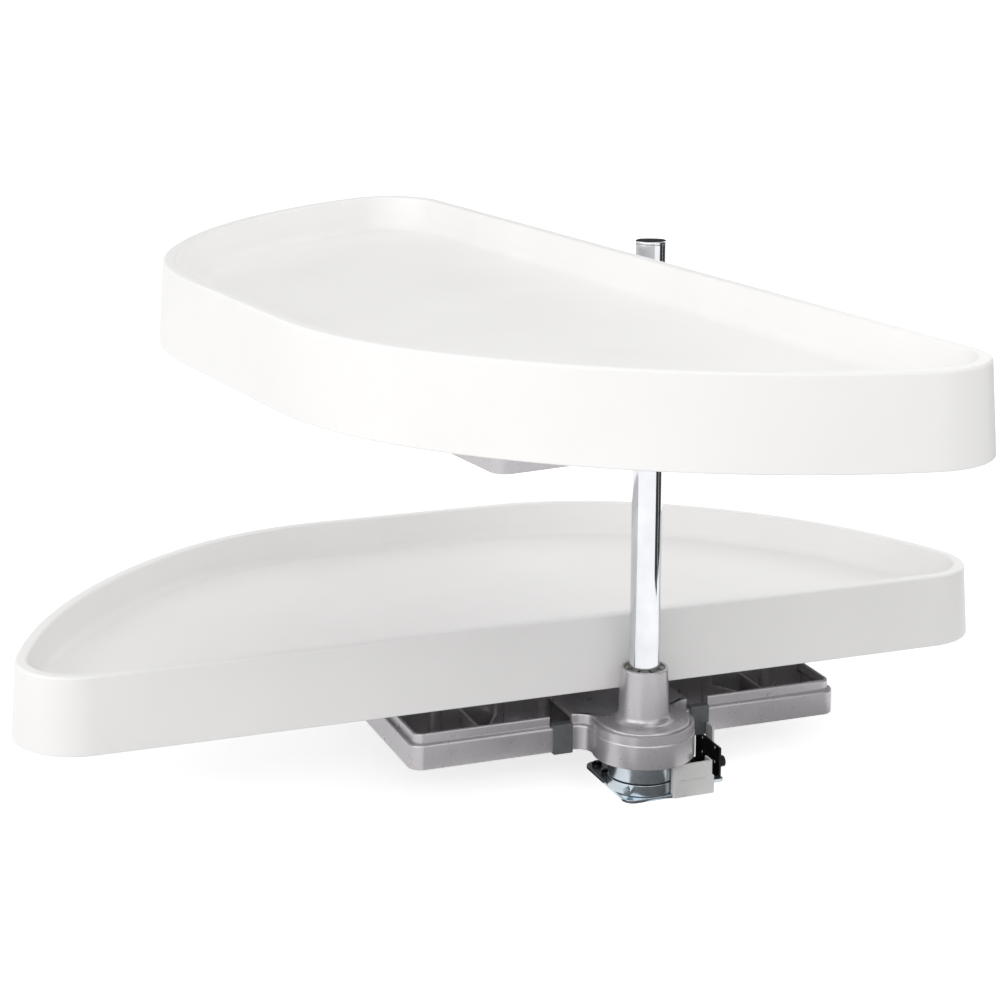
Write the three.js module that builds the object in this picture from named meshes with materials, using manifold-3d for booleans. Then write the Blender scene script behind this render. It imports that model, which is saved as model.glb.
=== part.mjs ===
// Corner carousel cabinet fitting: two D-shaped trays that pivot on one post and slide on their carriages.
// Millimetres, +Z up. The origin is on the post's axis, at the underside of the base plate.
// +X runs along the straight edge of the lower tray, and +Y from the post to that tray's curved side.
import * as THREE from "three";
import { mergeGeometries, mergeVertices } from "three/addons/utils/BufferGeometryUtils.js";
import Module from "manifold-3d";

const wasm = await Module();
wasm.setup();

// ---------------------------------------------------------------- driving dimensions

const SEAT = 0.3; // gap left where two pieces rest on each other
const OVERLAP = 0.5; // depth by which the stretches of one casting run into each other
const THROUGH = 1; // how far a cutting shape runs past the face it cuts
const ROUND_STEPS = 24; // facets of a large round piece
const SMALL_STEPS = 8; // facets of a fastener
const CORNER_FACETS = 4; // facets of a rounded corner
const SMALL_CORNER_FACETS = 2;
const CHAMFER = 1; // bevel on the edge of a small piece

// Where the two levels stand in the photographed pose.
const UPPER_TURN = 97.8; // degrees the upper carriage is turned from the lower one
const LOWER_SLIDE = -80.9; // lower tray's centre, along its track, from the post
const UPPER_SLIDE = -54.9; // upper tray's centre, likewise
const LEVEL_PITCH = 316.7; // from the lower carriage to the upper one

// Post
const POST_DIAMETER = 25.4;
const POST_WALL = 1.6;
const POST_ABOVE_HUB = 42.1; // post showing above the upper hub
const CAP_THICKNESS = 2.6;
const CAP_DOME = 0.7;
const CAP_EDGE = 0.25; // drop from the cap's middle to where its edge begins to turn down
const CAP_PLUG_LENGTH = 14;

// Base plate
const BASE_THICKNESS = 3;
const BASE_LEFT = 28;
const BASE_SIDE_MARGIN = 0.5; // plate past the front bracket
const BASE_FRONT_MARGIN = 1; // plate in front of the socket
const BASE_TAIL = 32.5; // plate behind the socket
const BASE_CORNER = 9;
const EAR_MARGIN = 2; // ear round the stile plate
const EAR_CORNER = 3;
const BASE_SCREW_INSET = 9;
const BASE_SCREW_PITCH = 20;
const BASE_SCREW_SHANK = 4.2;
const BASE_SCREW_HEAD = 9.5;
const BASE_SCREW_HEAD_HEIGHT = 3;
const SCREW_CLEARANCE = 0.35;

// Shape of a pan head, as parts of its height and of its radius
const PAN_SIDE = 0.35;
const PAN_CROWN = 0.8;
const PAN_TOP = 0.4;

// Socket, gasket and bearing cup, stacked on the base plate round the post
const SOCKET_DIAMETER = 59;
const SOCKET_HEIGHT = 9.7;
const GASKET_THICKNESS = 0.8;
const GASKET_INSET = 1.1;
const CUP_HEIGHT = 19.6;
const CUP_WALL = 4;
const CUP_LID = 5;
const POST_FIT = 0.3; // radial clearance of everything that is bored for the post
const SET_SCREW_ACROSS = 7;
const SET_SCREW_HEAD = 4;
const SET_SCREW_SHANK = 3.4;
const SET_SCREW_DEPTH = 9;
const SET_SCREW_ANGLE = 222.8;

// Thrust washers and the collar that carries the upper level
const WASHER_THICKNESS = 3;
const WASHER_WIDTH = 6;
const WASHER_SLACK = 1.5;
const COLLAR_DIAMETER = 48;
const COLLAR_HEIGHT = 20;

// Front bracket, folded from sheet
const BRACKET_SHEET = 1.7;
const BRACKET_REACH = 20; // from the socket's side to the bracket's right-hand edge
const BRACKET_WIDTH = 36;
const BRACKET_BOTTOM = 0.5;
const BRACKET_CLEARANCE = 1; // under the carriage's bumpers
const BRACKET_STEP = 1.6;
const BRACKET_STEP_HEIGHT = 15.5;
const BRACKET_SOCKET_GAP = 1.4;
const BRACKET_RIGHT_RETURN = 12;
const BRACKET_CORNER = 3;
const BRACKET_FLANGE_DEPTH = 15;
const BRACKET_SLIT_LENGTH = 22;
const BRACKET_SLIT_HEIGHT = 0.9;
const BRACKET_SLIT_DEPTH = 0.6;
const BRACKET_SLIT_LEVEL = 14.8;
const RIVET_DIAMETER = 4;
const RIVET_HEAD = 5.5;
const RIVET_HEAD_HEIGHT = 1.4;

// Stile plate, which stands on the ear, and the stop plate riveted behind it
const STILE_OFFSET = 3; // from the middle of the bumper to the plate
const STILE_SHEET = 2;
const STILE_FRONT = 10.5;
const STILE_BACK = 36;
const STILE_CLEARANCE = 0.6; // under the carriage's bumpers
const STILE_FLANGE = 11;
const STILE_HOLE = 4.4;
const STILE_HOLE_NEAR = 0;
const STILE_HOLE_PITCH = 24.4;
const STILE_HOLE_LOW = 10.5;
const STILE_HOLE_RISE = 12.8;
const STILE_BOLT_SHANK = 5;
const STILE_BOLT_ACROSS = 9;
const STILE_BOLT_HEAD = 4;
const STILE_BOLT_FRONT = 6;
const STILE_BOLT_LEVEL = 12.7;
const STILE_BOLT_LENGTH = 7;
const FLANGE_SCREW_INSET = 8;
const STOP_SHEET = 2;
const STOP_WIDTH = 13;
const STOP_REACH = 10; // above the carriage's lower edge
const STOP_CLEARANCE = 0.6; // from the stop plate to the bumper it meets
const STOP_RIVET_PITCH = 12;

// Carriage: one die casting, a hub with an open-topped frame behind it
const CARRIAGE_LENGTH = 395;
const CARRIAGE_FRONT = 24.5;
const CARRIAGE_BACK = 249;
const CARRIAGE_CORNER = 12;
const SKIRT_HEIGHT = 22;
const SKIRT_WALL = 3.5;
const LIP_HEIGHT = 8.2;
const LIP_SETBACK = 4;
const LIP_WALL = 3;
const LEDGE = 2.5;
const FRAME_FLOOR = 3;
const HUB_DIAMETER = 86.6;
const HUB_STEPS = 18;
const SWEEP_STEPS = 4;
const HUB_SWEEP_RADIUS = 11.7; // hollow curve where the hub's wall runs into the frame's
const HUB_TOP_PLATE = 4.2;
const BOSS_LIFT = 5.7; // underside of the hub's boss above the skirt's lower edge
const BOSS_WALL = 4.3;
const CONE_WALL = 2.8;
const CONE_TAPER = 1.5;
const CONE_TOP = 75.6;
const CONE_RIM = 0.8;
const CONE_FILLET = 6;
const CONE_FILLET_START = 262; // degrees round the fillet's circle, where it leaves the hub's top
const CONE_FILLET_END = 190; // and where it meets the neck's slope
const WEB_LENGTH = 112; // web behind the hub, across the front channel
const TRACK_WALL = 4;
const TRACK_WALL_TOP = 44;
const FRONT_TRACK_INSET = 60.5; // from the frame's front to the front track
const REAR_TRACK_INSET = 44;
const SCREW_BOSS_DIAMETER = 13.5;
const INNER_BOSS_X = 56;
const MIDDLE_BOSS_X = 100;
const OUTER_BOSS_INSET = 40.5;
const RIB_THICKNESS = 2.6;
const RIB_X = 133;
const RIB_TOP = 25;
const REAR_RIB_TOP = 19;

// Bushes in the hub
const BUSH_WALL = 3.9;
const BUSH_FIT = 0.3;
const TOP_BUSH_LENGTH = 17;
const TOP_BUSH_DROP = 0.9;
const BUSH_NOTCHES = 8;
const BUSH_NOTCH_WIDTH = 2.2;
const BUSH_NOTCH_DEPTH = 2;
const BOTTOM_BUSH_LENGTH = 18;

// Bumpers clipped over the frame's front wall, where the lip is interrupted
const BUMPER_OFFSET = 1.5; // from the end of the hollow curve
const BUMPER_WIDTH = 17;
const BUMPER_SHEET = 2.2;
const BUMPER_DROP = 1.5;
const BUMPER_INNER_LEG = 13;
const BUMPER_GAP = 1.6; // from the bumper to the cut ends of the lip

// Tracks, runners and glides between a carriage and its tray
const TRACK_INSET = 7.5;
const TRACK_STOP_DROP = 0.2; // from the top of a track's end stop to the top of the glide
const TRACK_WIDTH = 30;
const TRACK_HEIGHT = 16;
const TRACK_SHEET = 1.6;
const TRACK_LIP = 7;
const RUNNER_STANDOFF = 11.5; // from the track to the runner's flange
const RUNNER_END_GAP = 55; // from the tray's curved wall to the runner's corner
const RUNNER_WEB = 4;
const RUNNER_FOOT = 20;
const RUNNER_FOOT_THICKNESS = 3;
const RUNNER_FLANGE = 30;
const RUNNER_FLANGE_THICKNESS = 2.5;
const GLIDE_THICKNESS = 4;
const GLIDE_LENGTH = 136;
const GLIDE_FIT = 0.4;
const GLIDE_CORNER = 2;
const TRACK_SCREW_HEAD = 7.2;
const TRACK_SCREW_SHANK = 3.6;
const TRACK_SCREW_LENGTH = 13;
const STAKE_HEAD = 8;
const STAKE_HEAD_HEIGHT = 2.2;
const STAKE_DIAMETER = 4.4;
const STAKE_Y = 9.5; // from the runner's web to the stakes that hold it
const STAKE_X = [-230, 0, 230];

// Tray: one moulding with a hollow rim
const TRAY_WIDTH = 867;
const TRAY_DEPTH = 371;
const TRAY_HEIGHT = 63.5;
const TRAY_BACK_FLAT = 172.6; // straight stretch in the middle of the curved side
const TRAY_SHOULDER_INSET = 70; // from the tray's end to the shoulder's circle
const TRAY_END_RADIUS = 469.5;
const TRAY_CORNER_RADIUS = 56.5;
const TRAY_CLEARANCE = 0.4; // from the hub's cone to the straight edge
const TRAY_FLARE = 4.4; // how much further out the rim is at the bottom than at the top
const TRAY_EDGE = 1.5; // rounding of the rim's two top edges
const TRAY_RIM = 10;
const TRAY_BOWL_DEPTH = 30;
const TRAY_BOWL_SLOPE = 4.1;
const TRAY_BOWL_FILLET = 12;
const TRAY_FILLET_START = 190; // degrees round the fillet's circle, where it leaves the bowl's wall
const TRAY_SKIN = 3;
const TRAY_FLOOR = 3.5;
const TRAY_PAD_DEPTH = 6;
const TRAY_PAD_MARGIN = 2; // pad round the runner
const CORNER_STEPS = 6;
const END_STEPS = 6;
const SHOULDER_STEPS = 4;
const FILLET_STEPS = 3;

// ---------------------------------------------------------------- levels and radii worked out from them

const POST_RADIUS = POST_DIAMETER / 2;
const POST_BORE = POST_RADIUS + POST_FIT;
const SOCKET_RADIUS = SOCKET_DIAMETER / 2;
const SOCKET_BOTTOM = BASE_THICKNESS + SEAT;
const SOCKET_TOP = SOCKET_BOTTOM + SOCKET_HEIGHT;
const GASKET_BOTTOM = SOCKET_TOP + SEAT;
const CUP_BOTTOM = GASKET_BOTTOM + GASKET_THICKNESS + SEAT;
const CUP_TOP = CUP_BOTTOM + CUP_HEIGHT;
const WASHER_BOTTOM = CUP_TOP + SEAT;
const LOWER_CARRIAGE_Z = WASHER_BOTTOM + WASHER_THICKNESS + SEAT - BOSS_LIFT;
const UPPER_CARRIAGE_Z = LOWER_CARRIAGE_Z + LEVEL_PITCH;
const POST_TOP = UPPER_CARRIAGE_Z + CONE_TOP + POST_ABOVE_HUB;

const BRACKET_RIGHT = SOCKET_RADIUS + BRACKET_REACH;
const BRACKET_LEFT = BRACKET_RIGHT - BRACKET_WIDTH;
const BRACKET_TOP = LOWER_CARRIAGE_Z - BUMPER_DROP - BRACKET_CLEARANCE;
const BRACKET_FLANGE_LEFT = SOCKET_RADIUS + BRACKET_SOCKET_GAP;
const BASE_RIGHT = BRACKET_RIGHT + BASE_SIDE_MARGIN;
const BASE_FRONT = SOCKET_RADIUS + BASE_FRONT_MARGIN;
const BASE_BACK = SOCKET_RADIUS + BASE_TAIL;

const HUB_RADIUS = HUB_DIAMETER / 2;
const BORE_RADIUS = POST_BORE + BUSH_WALL + BUSH_FIT;
const CONE_TOP_RADIUS = BORE_RADIUS + CONE_WALL;
const CONE_FOOT_RADIUS = CONE_TOP_RADIUS + CONE_TAPER;
const LIP_TOP = SKIRT_HEIGHT + LIP_HEIGHT;
const SWEEP_Y = CARRIAGE_FRONT - HUB_SWEEP_RADIUS;
const SWEEP_X = Math.sqrt((HUB_RADIUS + HUB_SWEEP_RADIUS) ** 2 - SWEEP_Y ** 2);
const FRONT_TRACK_Y = CARRIAGE_FRONT + FRONT_TRACK_INSET;
const REAR_TRACK_Y = CARRIAGE_BACK - REAR_TRACK_INSET;
const OUTER_BOSS_X = CARRIAGE_LENGTH / 2 - OUTER_BOSS_INSET;

const BUMPER_X = SWEEP_X + BUMPER_OFFSET + BUMPER_WIDTH / 2;
const BUMPER_FACE = CARRIAGE_FRONT - SEAT - BUMPER_SHEET;
const STILE_X = BUMPER_X + STILE_OFFSET;
const STILE_BOTTOM = BASE_THICKNESS + SEAT;
const STILE_TOP = LOWER_CARRIAGE_Z - BUMPER_DROP - STILE_CLEARANCE;
const STOP_TOP = LOWER_CARRIAGE_Z + STOP_REACH;
const STOP_BACK = BUMPER_FACE - STOP_CLEARANCE;
const STOP_MIDDLE = STOP_BACK - STOP_WIDTH / 2;
const STOP_X = STILE_X + STILE_SHEET + SEAT;

const TRACK_LENGTH = CARRIAGE_LENGTH - 2 * TRACK_INSET;
const TRACK_BOTTOM = TRACK_WALL_TOP + SEAT;
const TRACK_TOP = TRACK_BOTTOM + TRACK_HEIGHT;
const TRACK_FLOOR_TOP = TRACK_BOTTOM + TRACK_SHEET;
const GLIDE_BOTTOM = TRACK_FLOOR_TOP + GLIDE_FIT;
const GLIDE_TOP = GLIDE_BOTTOM + GLIDE_THICKNESS;
const FOOT_BOTTOM = GLIDE_TOP + SEAT;
const FLANGE_BOTTOM = TRACK_TOP + RUNNER_STANDOFF;
const RUNNER_TOP = FLANGE_BOTTOM + RUNNER_FLANGE_THICKNESS;

const TRAY_STANDOFF = CONE_FOOT_RADIUS + TRAY_CLEARANCE;
const TRAY_SHOULDER_RADIUS = (TRAY_WIDTH - TRAY_BACK_FLAT) / 2 - TRAY_SHOULDER_INSET;
const TRAY_FLOOR_TOP = TRAY_HEIGHT - TRAY_BOWL_DEPTH;
const TRAY_FLOOR_BOTTOM = TRAY_FLOOR_TOP - TRAY_FLOOR;
const TRAY_PAD_BOTTOM = TRAY_FLOOR_BOTTOM - TRAY_PAD_DEPTH;
const TRAY_LIFT = RUNNER_TOP + SEAT - TRAY_PAD_BOTTOM;

// ---------------------------------------------------------------- materials

function finish(colour, roughness, metalness) {
  return new THREE.MeshStandardMaterial({ color: colour, roughness, metalness });
}

const WHITE_POLYMER = finish(0xf1efec, 0.5, 0);
const CAST_PAINT = finish(0x979397, 0.42, 0.35);
const CHROME = finish(0xe4e6e8, 0.08, 1);
const ZINC = finish(0xa9b2ba, 0.35, 0.9);
const BRACKET_PAINT = finish(0xc6c7c6, 0.45, 0.4);
const BLACK_STEEL = finish(0x1c1d1f, 0.4, 0.5);
const BUMPER_PLASTIC = finish(0x54575a, 0.55, 0);
const BUSH_PLASTIC = finish(0x8f9088, 0.5, 0);
const BLACK_RUBBER = finish(0x17181a, 0.8, 0);
const TRACK_STEEL = finish(0xb4b8bb, 0.35, 0.9);
const RUNNER_ALLOY = finish(0xc3c6c8, 0.3, 0.9);
const GLIDE_PLASTIC = finish(0xe9e7df, 0.45, 0);

// ---------------------------------------------------------------- shapes

/** Points of an arc, from one angle to another, in degrees. */
function arc(x, y, radius, from, to, steps) {
  return Array.from({ length: steps + 1 }, (_, i) => {
    const angle = THREE.MathUtils.degToRad(from + ((to - from) * i) / steps);
    return new THREE.Vector2(x + radius * Math.cos(angle), y + radius * Math.sin(angle));
  });
}

function roundedRectangle(x0, x1, y0, y1, radius, steps = CORNER_FACETS) {
  return [
    ...arc(x1 - radius, y0 + radius, radius, -90, 0, steps),
    ...arc(x1 - radius, y1 - radius, radius, 0, 90, steps),
    ...arc(x0 + radius, y1 - radius, radius, 90, 180, steps),
    ...arc(x0 + radius, y0 + radius, radius, 180, 270, steps),
  ];
}

/** An upright prism on an outline. */
function prism(outline, z0, z1) {
  const shape = new THREE.Shape(outline);
  return new THREE.ExtrudeGeometry(shape, { depth: z1 - z0, bevelEnabled: false }).translate(0, 0, z0);
}

/** A bar along X with a section drawn in Y and Z. */
function bar(section, x0, x1) {
  const shape = new THREE.Shape(section.map(([y, z]) => new THREE.Vector2(y, z)));
  const geometry = new THREE.ExtrudeGeometry(shape, { depth: x1 - x0, bevelEnabled: false });
  const toRow = new THREE.Matrix4().makeBasis(
    new THREE.Vector3(0, 1, 0),
    new THREE.Vector3(0, 0, 1),
    new THREE.Vector3(1, 0, 0),
  );
  return geometry.applyMatrix4(toRow).translate(x0, 0, 0);
}

function block(x0, x1, y0, y1, z0, z1) {
  const geometry = new THREE.BoxGeometry(x1 - x0, y1 - y0, z1 - z0);
  return geometry.translate((x0 + x1) / 2, (y0 + y1) / 2, (z0 + z1) / 2);
}

/** A turned piece about Z, from the radius and height of each point of its closed section. */
function turned(section, steps = ROUND_STEPS) {
  const profile = [...section, section[0]].map(([r, z]) => new THREE.Vector2(r, z));
  return new THREE.LatheGeometry(profile, steps).rotateX(Math.PI / 2);
}

function disc(radius, z0, z1, steps = ROUND_STEPS) {
  return new THREE.CylinderGeometry(radius, radius, z1 - z0, steps)
    .rotateX(Math.PI / 2)
    .translate(0, 0, (z0 + z1) / 2);
}

function tube(outer, inner, z0, z1, steps = ROUND_STEPS) {
  return turned([[inner, z0], [outer, z0], [outer, z1], [inner, z1]], steps);
}

/** A closed skin through outlines that have the same number of points, each at its own height. */
function loft(rings) {
  const count = rings[0].outline.length;
  const positions = rings.flatMap(({ outline, z }) => outline.flatMap((p) => [p.x, p.y, z]));
  const faces = [];
  for (let ring = 0; ring < rings.length - 1; ring++) {
    for (let i = 0; i < count; i++) {
      const a = ring * count + i;
      const b = ring * count + ((i + 1) % count);
      faces.push(a, b, b + count, a, b + count, a + count);
    }
  }
  const last = (rings.length - 1) * count;
  for (const [a, b, c] of THREE.ShapeUtils.triangulateShape(rings[0].outline, [])) {
    faces.push(c, b, a);
  }
  for (const [a, b, c] of THREE.ShapeUtils.triangulateShape(rings.at(-1).outline, [])) {
    faces.push(last + a, last + b, last + c);
  }
  const geometry = new THREE.BufferGeometry();
  geometry.setAttribute("position", new THREE.Float32BufferAttribute(positions, 3));
  geometry.setIndex(faces);
  return geometry;
}

function signedVolume(vertices, triangles) {
  const [a, b, c] = [new THREE.Vector3(), new THREE.Vector3(), new THREE.Vector3()];
  let volume = 0;
  for (let i = 0; i < triangles.length; i += 3) {
    a.fromArray(vertices, triangles[i] * 3);
    b.fromArray(vertices, triangles[i + 1] * 3);
    c.fromArray(vertices, triangles[i + 2] * 3);
    volume += a.dot(b.cross(c)) / 6;
  }
  return volume;
}

/** The geometry as a solid, with its shared points merged and its faces pointing out. */
function solid(geometry) {
  const bare = geometry.clone();
  bare.deleteAttribute("normal");
  bare.deleteAttribute("uv");
  const merged = mergeVertices(bare, 1e-4);
  const vertProperties = Float32Array.from(merged.attributes.position.array);
  const corners = Array.from(merged.index.array);
  const triVerts = [];
  for (let i = 0; i < corners.length; i += 3) {
    const [a, b, c] = corners.slice(i, i + 3);
    if (a !== b && b !== c && c !== a) triVerts.push(a, b, c);
  }
  if (signedVolume(vertProperties, triVerts) < 0) triVerts.reverse();
  const mesh = new wasm.Mesh({ numProp: 3, vertProperties, triVerts: Uint32Array.from(triVerts) });
  return new wasm.Manifold(mesh);
}

function plain(manifold) {
  const mesh = manifold.getMesh();
  const geometry = new THREE.BufferGeometry();
  geometry.setAttribute("position", new THREE.Float32BufferAttribute(mesh.vertProperties, 3));
  geometry.setIndex(Array.from(mesh.triVerts));
  return geometry;
}

function joined(...geometries) {
  return plain(geometries.map(solid).reduce((whole, more) => whole.add(more)));
}

function cut(geometry, ...tools) {
  return plain(tools.map(solid).reduce((whole, tool) => whole.subtract(tool), solid(geometry)));
}

/** Copies of a cutting tool at several places. */
function copies(geometry, places) {
  const bare = plain(solid(geometry));
  return mergeGeometries(places.map(([x, y, z = 0]) => bare.clone().translate(x, y, z)));
}

/** A pan-head screw or rivet pointing down, with the underside of its head at z = 0. */
function panHead(headDiameter, headHeight, shankDiameter, shankLength) {
  const head = headDiameter / 2;
  const shank = shankDiameter / 2;
  return turned([
    [0, -shankLength],
    [shank, -shankLength],
    [shank, 0],
    [head, 0],
    [head, headHeight * PAN_SIDE],
    [head * PAN_CROWN, headHeight * PAN_CROWN],
    [head * PAN_TOP, headHeight],
    [0, headHeight],
  ], SMALL_STEPS);
}

/** A flat-head screw pointing down, with the top of its head at z = 0. */
function flatHead(headDiameter, headDepth, shankDiameter, shankLength) {
  return turned([
    [0, -shankLength],
    [shankDiameter / 2, -shankLength],
    [shankDiameter / 2, -headDepth],
    [headDiameter / 2, 0],
    [0, 0],
  ], SMALL_STEPS);
}

/** A hexagon-headed bolt pointing down, with the underside of its head at z = 0. */
function hexHead(acrossFlats, headHeight, shankDiameter, shankLength) {
  const head = disc(acrossFlats / Math.sqrt(3), 0, headHeight, 6);
  return joined(head, disc(shankDiameter / 2, -shankLength, OVERLAP, SMALL_STEPS));
}

// ---------------------------------------------------------------- assembly

const cabinet = new THREE.Group();

function piece(name, geometry, material, parent = cabinet) {
  const mesh = new THREE.Mesh(geometry, material);
  mesh.name = name;
  parent.add(mesh);
  return mesh;
}

/** The same piece at several places, numbered from 1. */
function repeated(name, geometry, places, material, parent = cabinet) {
  places.forEach(([x, y, z], i) => {
    piece(`${name}_${i + 1}`, geometry, material, parent).position.set(x, y, z);
  });
}

// ---------------------------------------------------------------- base and post

const BASE_SCREW_PLACES = [-1, 1].flatMap((side) => {
  const x = side < 0 ? -BASE_LEFT + BASE_SCREW_INSET : BASE_RIGHT - BASE_SCREW_INSET;
  const back = BASE_BACK - BASE_SCREW_INSET;
  return [[x, back], [x, back - BASE_SCREW_PITCH]];
});
const FLANGE_SCREW_X = STILE_X - STILE_FLANGE / 2;
const FLANGE_SCREW_PLACES = [
  [FLANGE_SCREW_X, -STILE_FRONT + FLANGE_SCREW_INSET],
  [FLANGE_SCREW_X, STILE_BACK - FLANGE_SCREW_INSET],
];
const RIVET_Y = -BASE_FRONT + BRACKET_FLANGE_DEPTH / 2;
const RIVET_PLACES = [
  [BRACKET_FLANGE_LEFT + RIVET_HEAD / 2 + SEAT, RIVET_Y],
  [BRACKET_RIGHT - BRACKET_SHEET - RIVET_HEAD / 2 - SEAT, RIVET_Y],
];

function screwHoles(places, shankDiameter, z0, z1) {
  const hole = disc(shankDiameter / 2 + SCREW_CLEARANCE, z0 - THROUGH, z1 + THROUGH, SMALL_STEPS);
  return copies(hole, places);
}

function basePlate() {
  const plate = roundedRectangle(-BASE_LEFT, BASE_RIGHT, -BASE_FRONT, BASE_BACK, BASE_CORNER);
  const earRight = STILE_X + STILE_SHEET + EAR_MARGIN;
  const earFront = -STILE_FRONT - EAR_MARGIN;
  const earBack = STILE_BACK + EAR_MARGIN;
  const ear = roundedRectangle(0, earRight, earFront, earBack, EAR_CORNER, SMALL_CORNER_FACETS);
  return cut(
    joined(prism(plate, 0, BASE_THICKNESS), prism(ear, 0, BASE_THICKNESS)),
    screwHoles(BASE_SCREW_PLACES, BASE_SCREW_SHANK, 0, BASE_THICKNESS),
    screwHoles([...FLANGE_SCREW_PLACES, ...RIVET_PLACES], RIVET_DIAMETER, 0, BASE_THICKNESS),
  );
}

/** A hexagon set screw that points at the post through a ring of the given radius. */
function setScrew(radius, level) {
  const screw = hexHead(SET_SCREW_ACROSS, SET_SCREW_HEAD, SET_SCREW_SHANK, SET_SCREW_DEPTH);
  screw.rotateY(Math.PI / 2).translate(radius + SEAT, 0, level);
  return screw.rotateZ(THREE.MathUtils.degToRad(SET_SCREW_ANGLE));
}

/** A ring on the post, with the hole for its set screw. */
function boredRing(radius, z0, z1, level) {
  const hole = disc(
    SET_SCREW_SHANK / 2 + SCREW_CLEARANCE,
    radius - SET_SCREW_DEPTH - THROUGH,
    radius + THROUGH,
    SMALL_STEPS,
  );
  hole.rotateY(Math.PI / 2).translate(0, 0, level).rotateZ(THREE.MathUtils.degToRad(SET_SCREW_ANGLE));
  return cut(tube(radius, POST_BORE, z0, z1), hole);
}

function bearingCup() {
  const outer = SOCKET_RADIUS;
  return turned([
    [outer - CUP_WALL, CUP_BOTTOM],
    [outer, CUP_BOTTOM],
    [outer, CUP_TOP - CHAMFER],
    [outer - CHAMFER, CUP_TOP],
    [POST_BORE, CUP_TOP],
    [POST_BORE, CUP_TOP - CUP_LID],
    [outer - CUP_WALL, CUP_TOP - CUP_LID],
  ]);
}

function postCap() {
  const plug = POST_RADIUS - POST_WALL - SEAT;
  const seat = POST_TOP + SEAT;
  return turned([
    [0, seat - CAP_PLUG_LENGTH],
    [plug, seat - CAP_PLUG_LENGTH],
    [plug, seat],
    [POST_RADIUS, seat],
    [POST_RADIUS, seat + CAP_THICKNESS - CAP_DOME],
    [POST_RADIUS - CAP_DOME, seat + CAP_THICKNESS - CAP_EDGE],
    [0, seat + CAP_THICKNESS],
  ]);
}

const SET_SCREW_LEVEL = SOCKET_BOTTOM + SOCKET_HEIGHT / 2;

piece("base_plate", basePlate(), ZINC);
repeated(
  "base_screw",
  panHead(BASE_SCREW_HEAD, BASE_SCREW_HEAD_HEIGHT, BASE_SCREW_SHANK, BASE_THICKNESS),
  BASE_SCREW_PLACES.map(([x, y]) => [x, y, BASE_THICKNESS + SEAT]),
  BLACK_STEEL,
);
piece("post_socket", boredRing(SOCKET_RADIUS, SOCKET_BOTTOM, SOCKET_TOP, SET_SCREW_LEVEL), ZINC);
piece("socket_set_screw", setScrew(SOCKET_RADIUS, SET_SCREW_LEVEL), ZINC);
piece(
  "socket_gasket",
  tube(SOCKET_RADIUS - GASKET_INSET, POST_BORE, GASKET_BOTTOM, GASKET_BOTTOM + GASKET_THICKNESS),
  BLACK_RUBBER,
);
piece("bearing_cup", bearingCup(), ZINC);
piece("center_post", tube(POST_RADIUS, POST_RADIUS - POST_WALL, SOCKET_BOTTOM, POST_TOP), CHROME);
piece("post_cap", postCap(), CHROME);

// ---------------------------------------------------------------- front bracket

function frontBracket() {
  const outer = -BASE_FRONT - SEAT - BRACKET_SHEET;
  const flangeBottom = BASE_THICKNESS + SEAT;
  const flangeTop = flangeBottom + BRACKET_SHEET;
  const flangeBack = outer + BRACKET_SHEET + BRACKET_FLANGE_DEPTH;
  const returnX = BRACKET_LEFT + BRACKET_SHEET;
  const returnBack = -Math.sqrt((SOCKET_RADIUS + BRACKET_SOCKET_GAP) ** 2 - returnX ** 2);
  const slitMiddle = (BRACKET_LEFT + BRACKET_RIGHT) / 2;
  const slit = block(
    slitMiddle - BRACKET_SLIT_LENGTH / 2,
    slitMiddle + BRACKET_SLIT_LENGTH / 2,
    outer - THROUGH,
    outer + BRACKET_SLIT_DEPTH,
    BRACKET_SLIT_LEVEL,
    BRACKET_SLIT_LEVEL + BRACKET_SLIT_HEIGHT,
  );
  const cornerTop = BRACKET_TOP - BRACKET_CORNER;
  const rightX = BRACKET_RIGHT - BRACKET_SHEET;
  return cut(
    joined(
      bracketFace().translate(0, outer, 0),
      block(BRACKET_LEFT, returnX, outer, returnBack, flangeBottom, cornerTop),
      block(rightX, BRACKET_RIGHT, outer, outer + BRACKET_RIGHT_RETURN, flangeBottom, BRACKET_TOP),
      block(BRACKET_FLANGE_LEFT, BRACKET_RIGHT, outer, flangeBack, flangeBottom, flangeTop),
    ),
    slit,
    screwHoles(RIVET_PLACES, RIVET_DIAMETER, flangeBottom, flangeTop),
  );
}

/** The bracket's face, with a rounded corner and a step in its right-hand edge. */
function bracketFace() {
  const step = BRACKET_BOTTOM + BRACKET_STEP_HEIGHT;
  const [cornerX, cornerZ] = [BRACKET_LEFT + BRACKET_CORNER, BRACKET_TOP - BRACKET_CORNER];
  const outline = [
    new THREE.Vector2(BRACKET_LEFT, BRACKET_BOTTOM),
    new THREE.Vector2(BRACKET_RIGHT + BRACKET_STEP, BRACKET_BOTTOM),
    new THREE.Vector2(BRACKET_RIGHT + BRACKET_STEP, step),
    new THREE.Vector2(BRACKET_RIGHT, step + BRACKET_STEP),
    new THREE.Vector2(BRACKET_RIGHT, BRACKET_TOP),
    ...arc(cornerX, cornerZ, BRACKET_CORNER, 90, 180, CORNER_FACETS),
  ];
  return prism(outline, -BRACKET_SHEET, 0).rotateX(Math.PI / 2);
}

/** A rivet or short screw through one sheet and the base plate under it. */
function sheetRivet(sheet) {
  return panHead(RIVET_HEAD, RIVET_HEAD_HEIGHT, RIVET_DIAMETER, BASE_THICKNESS + SEAT + sheet);
}

const BRACKET_RIVET_Z = BASE_THICKNESS + SEAT + BRACKET_SHEET + SEAT;

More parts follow.
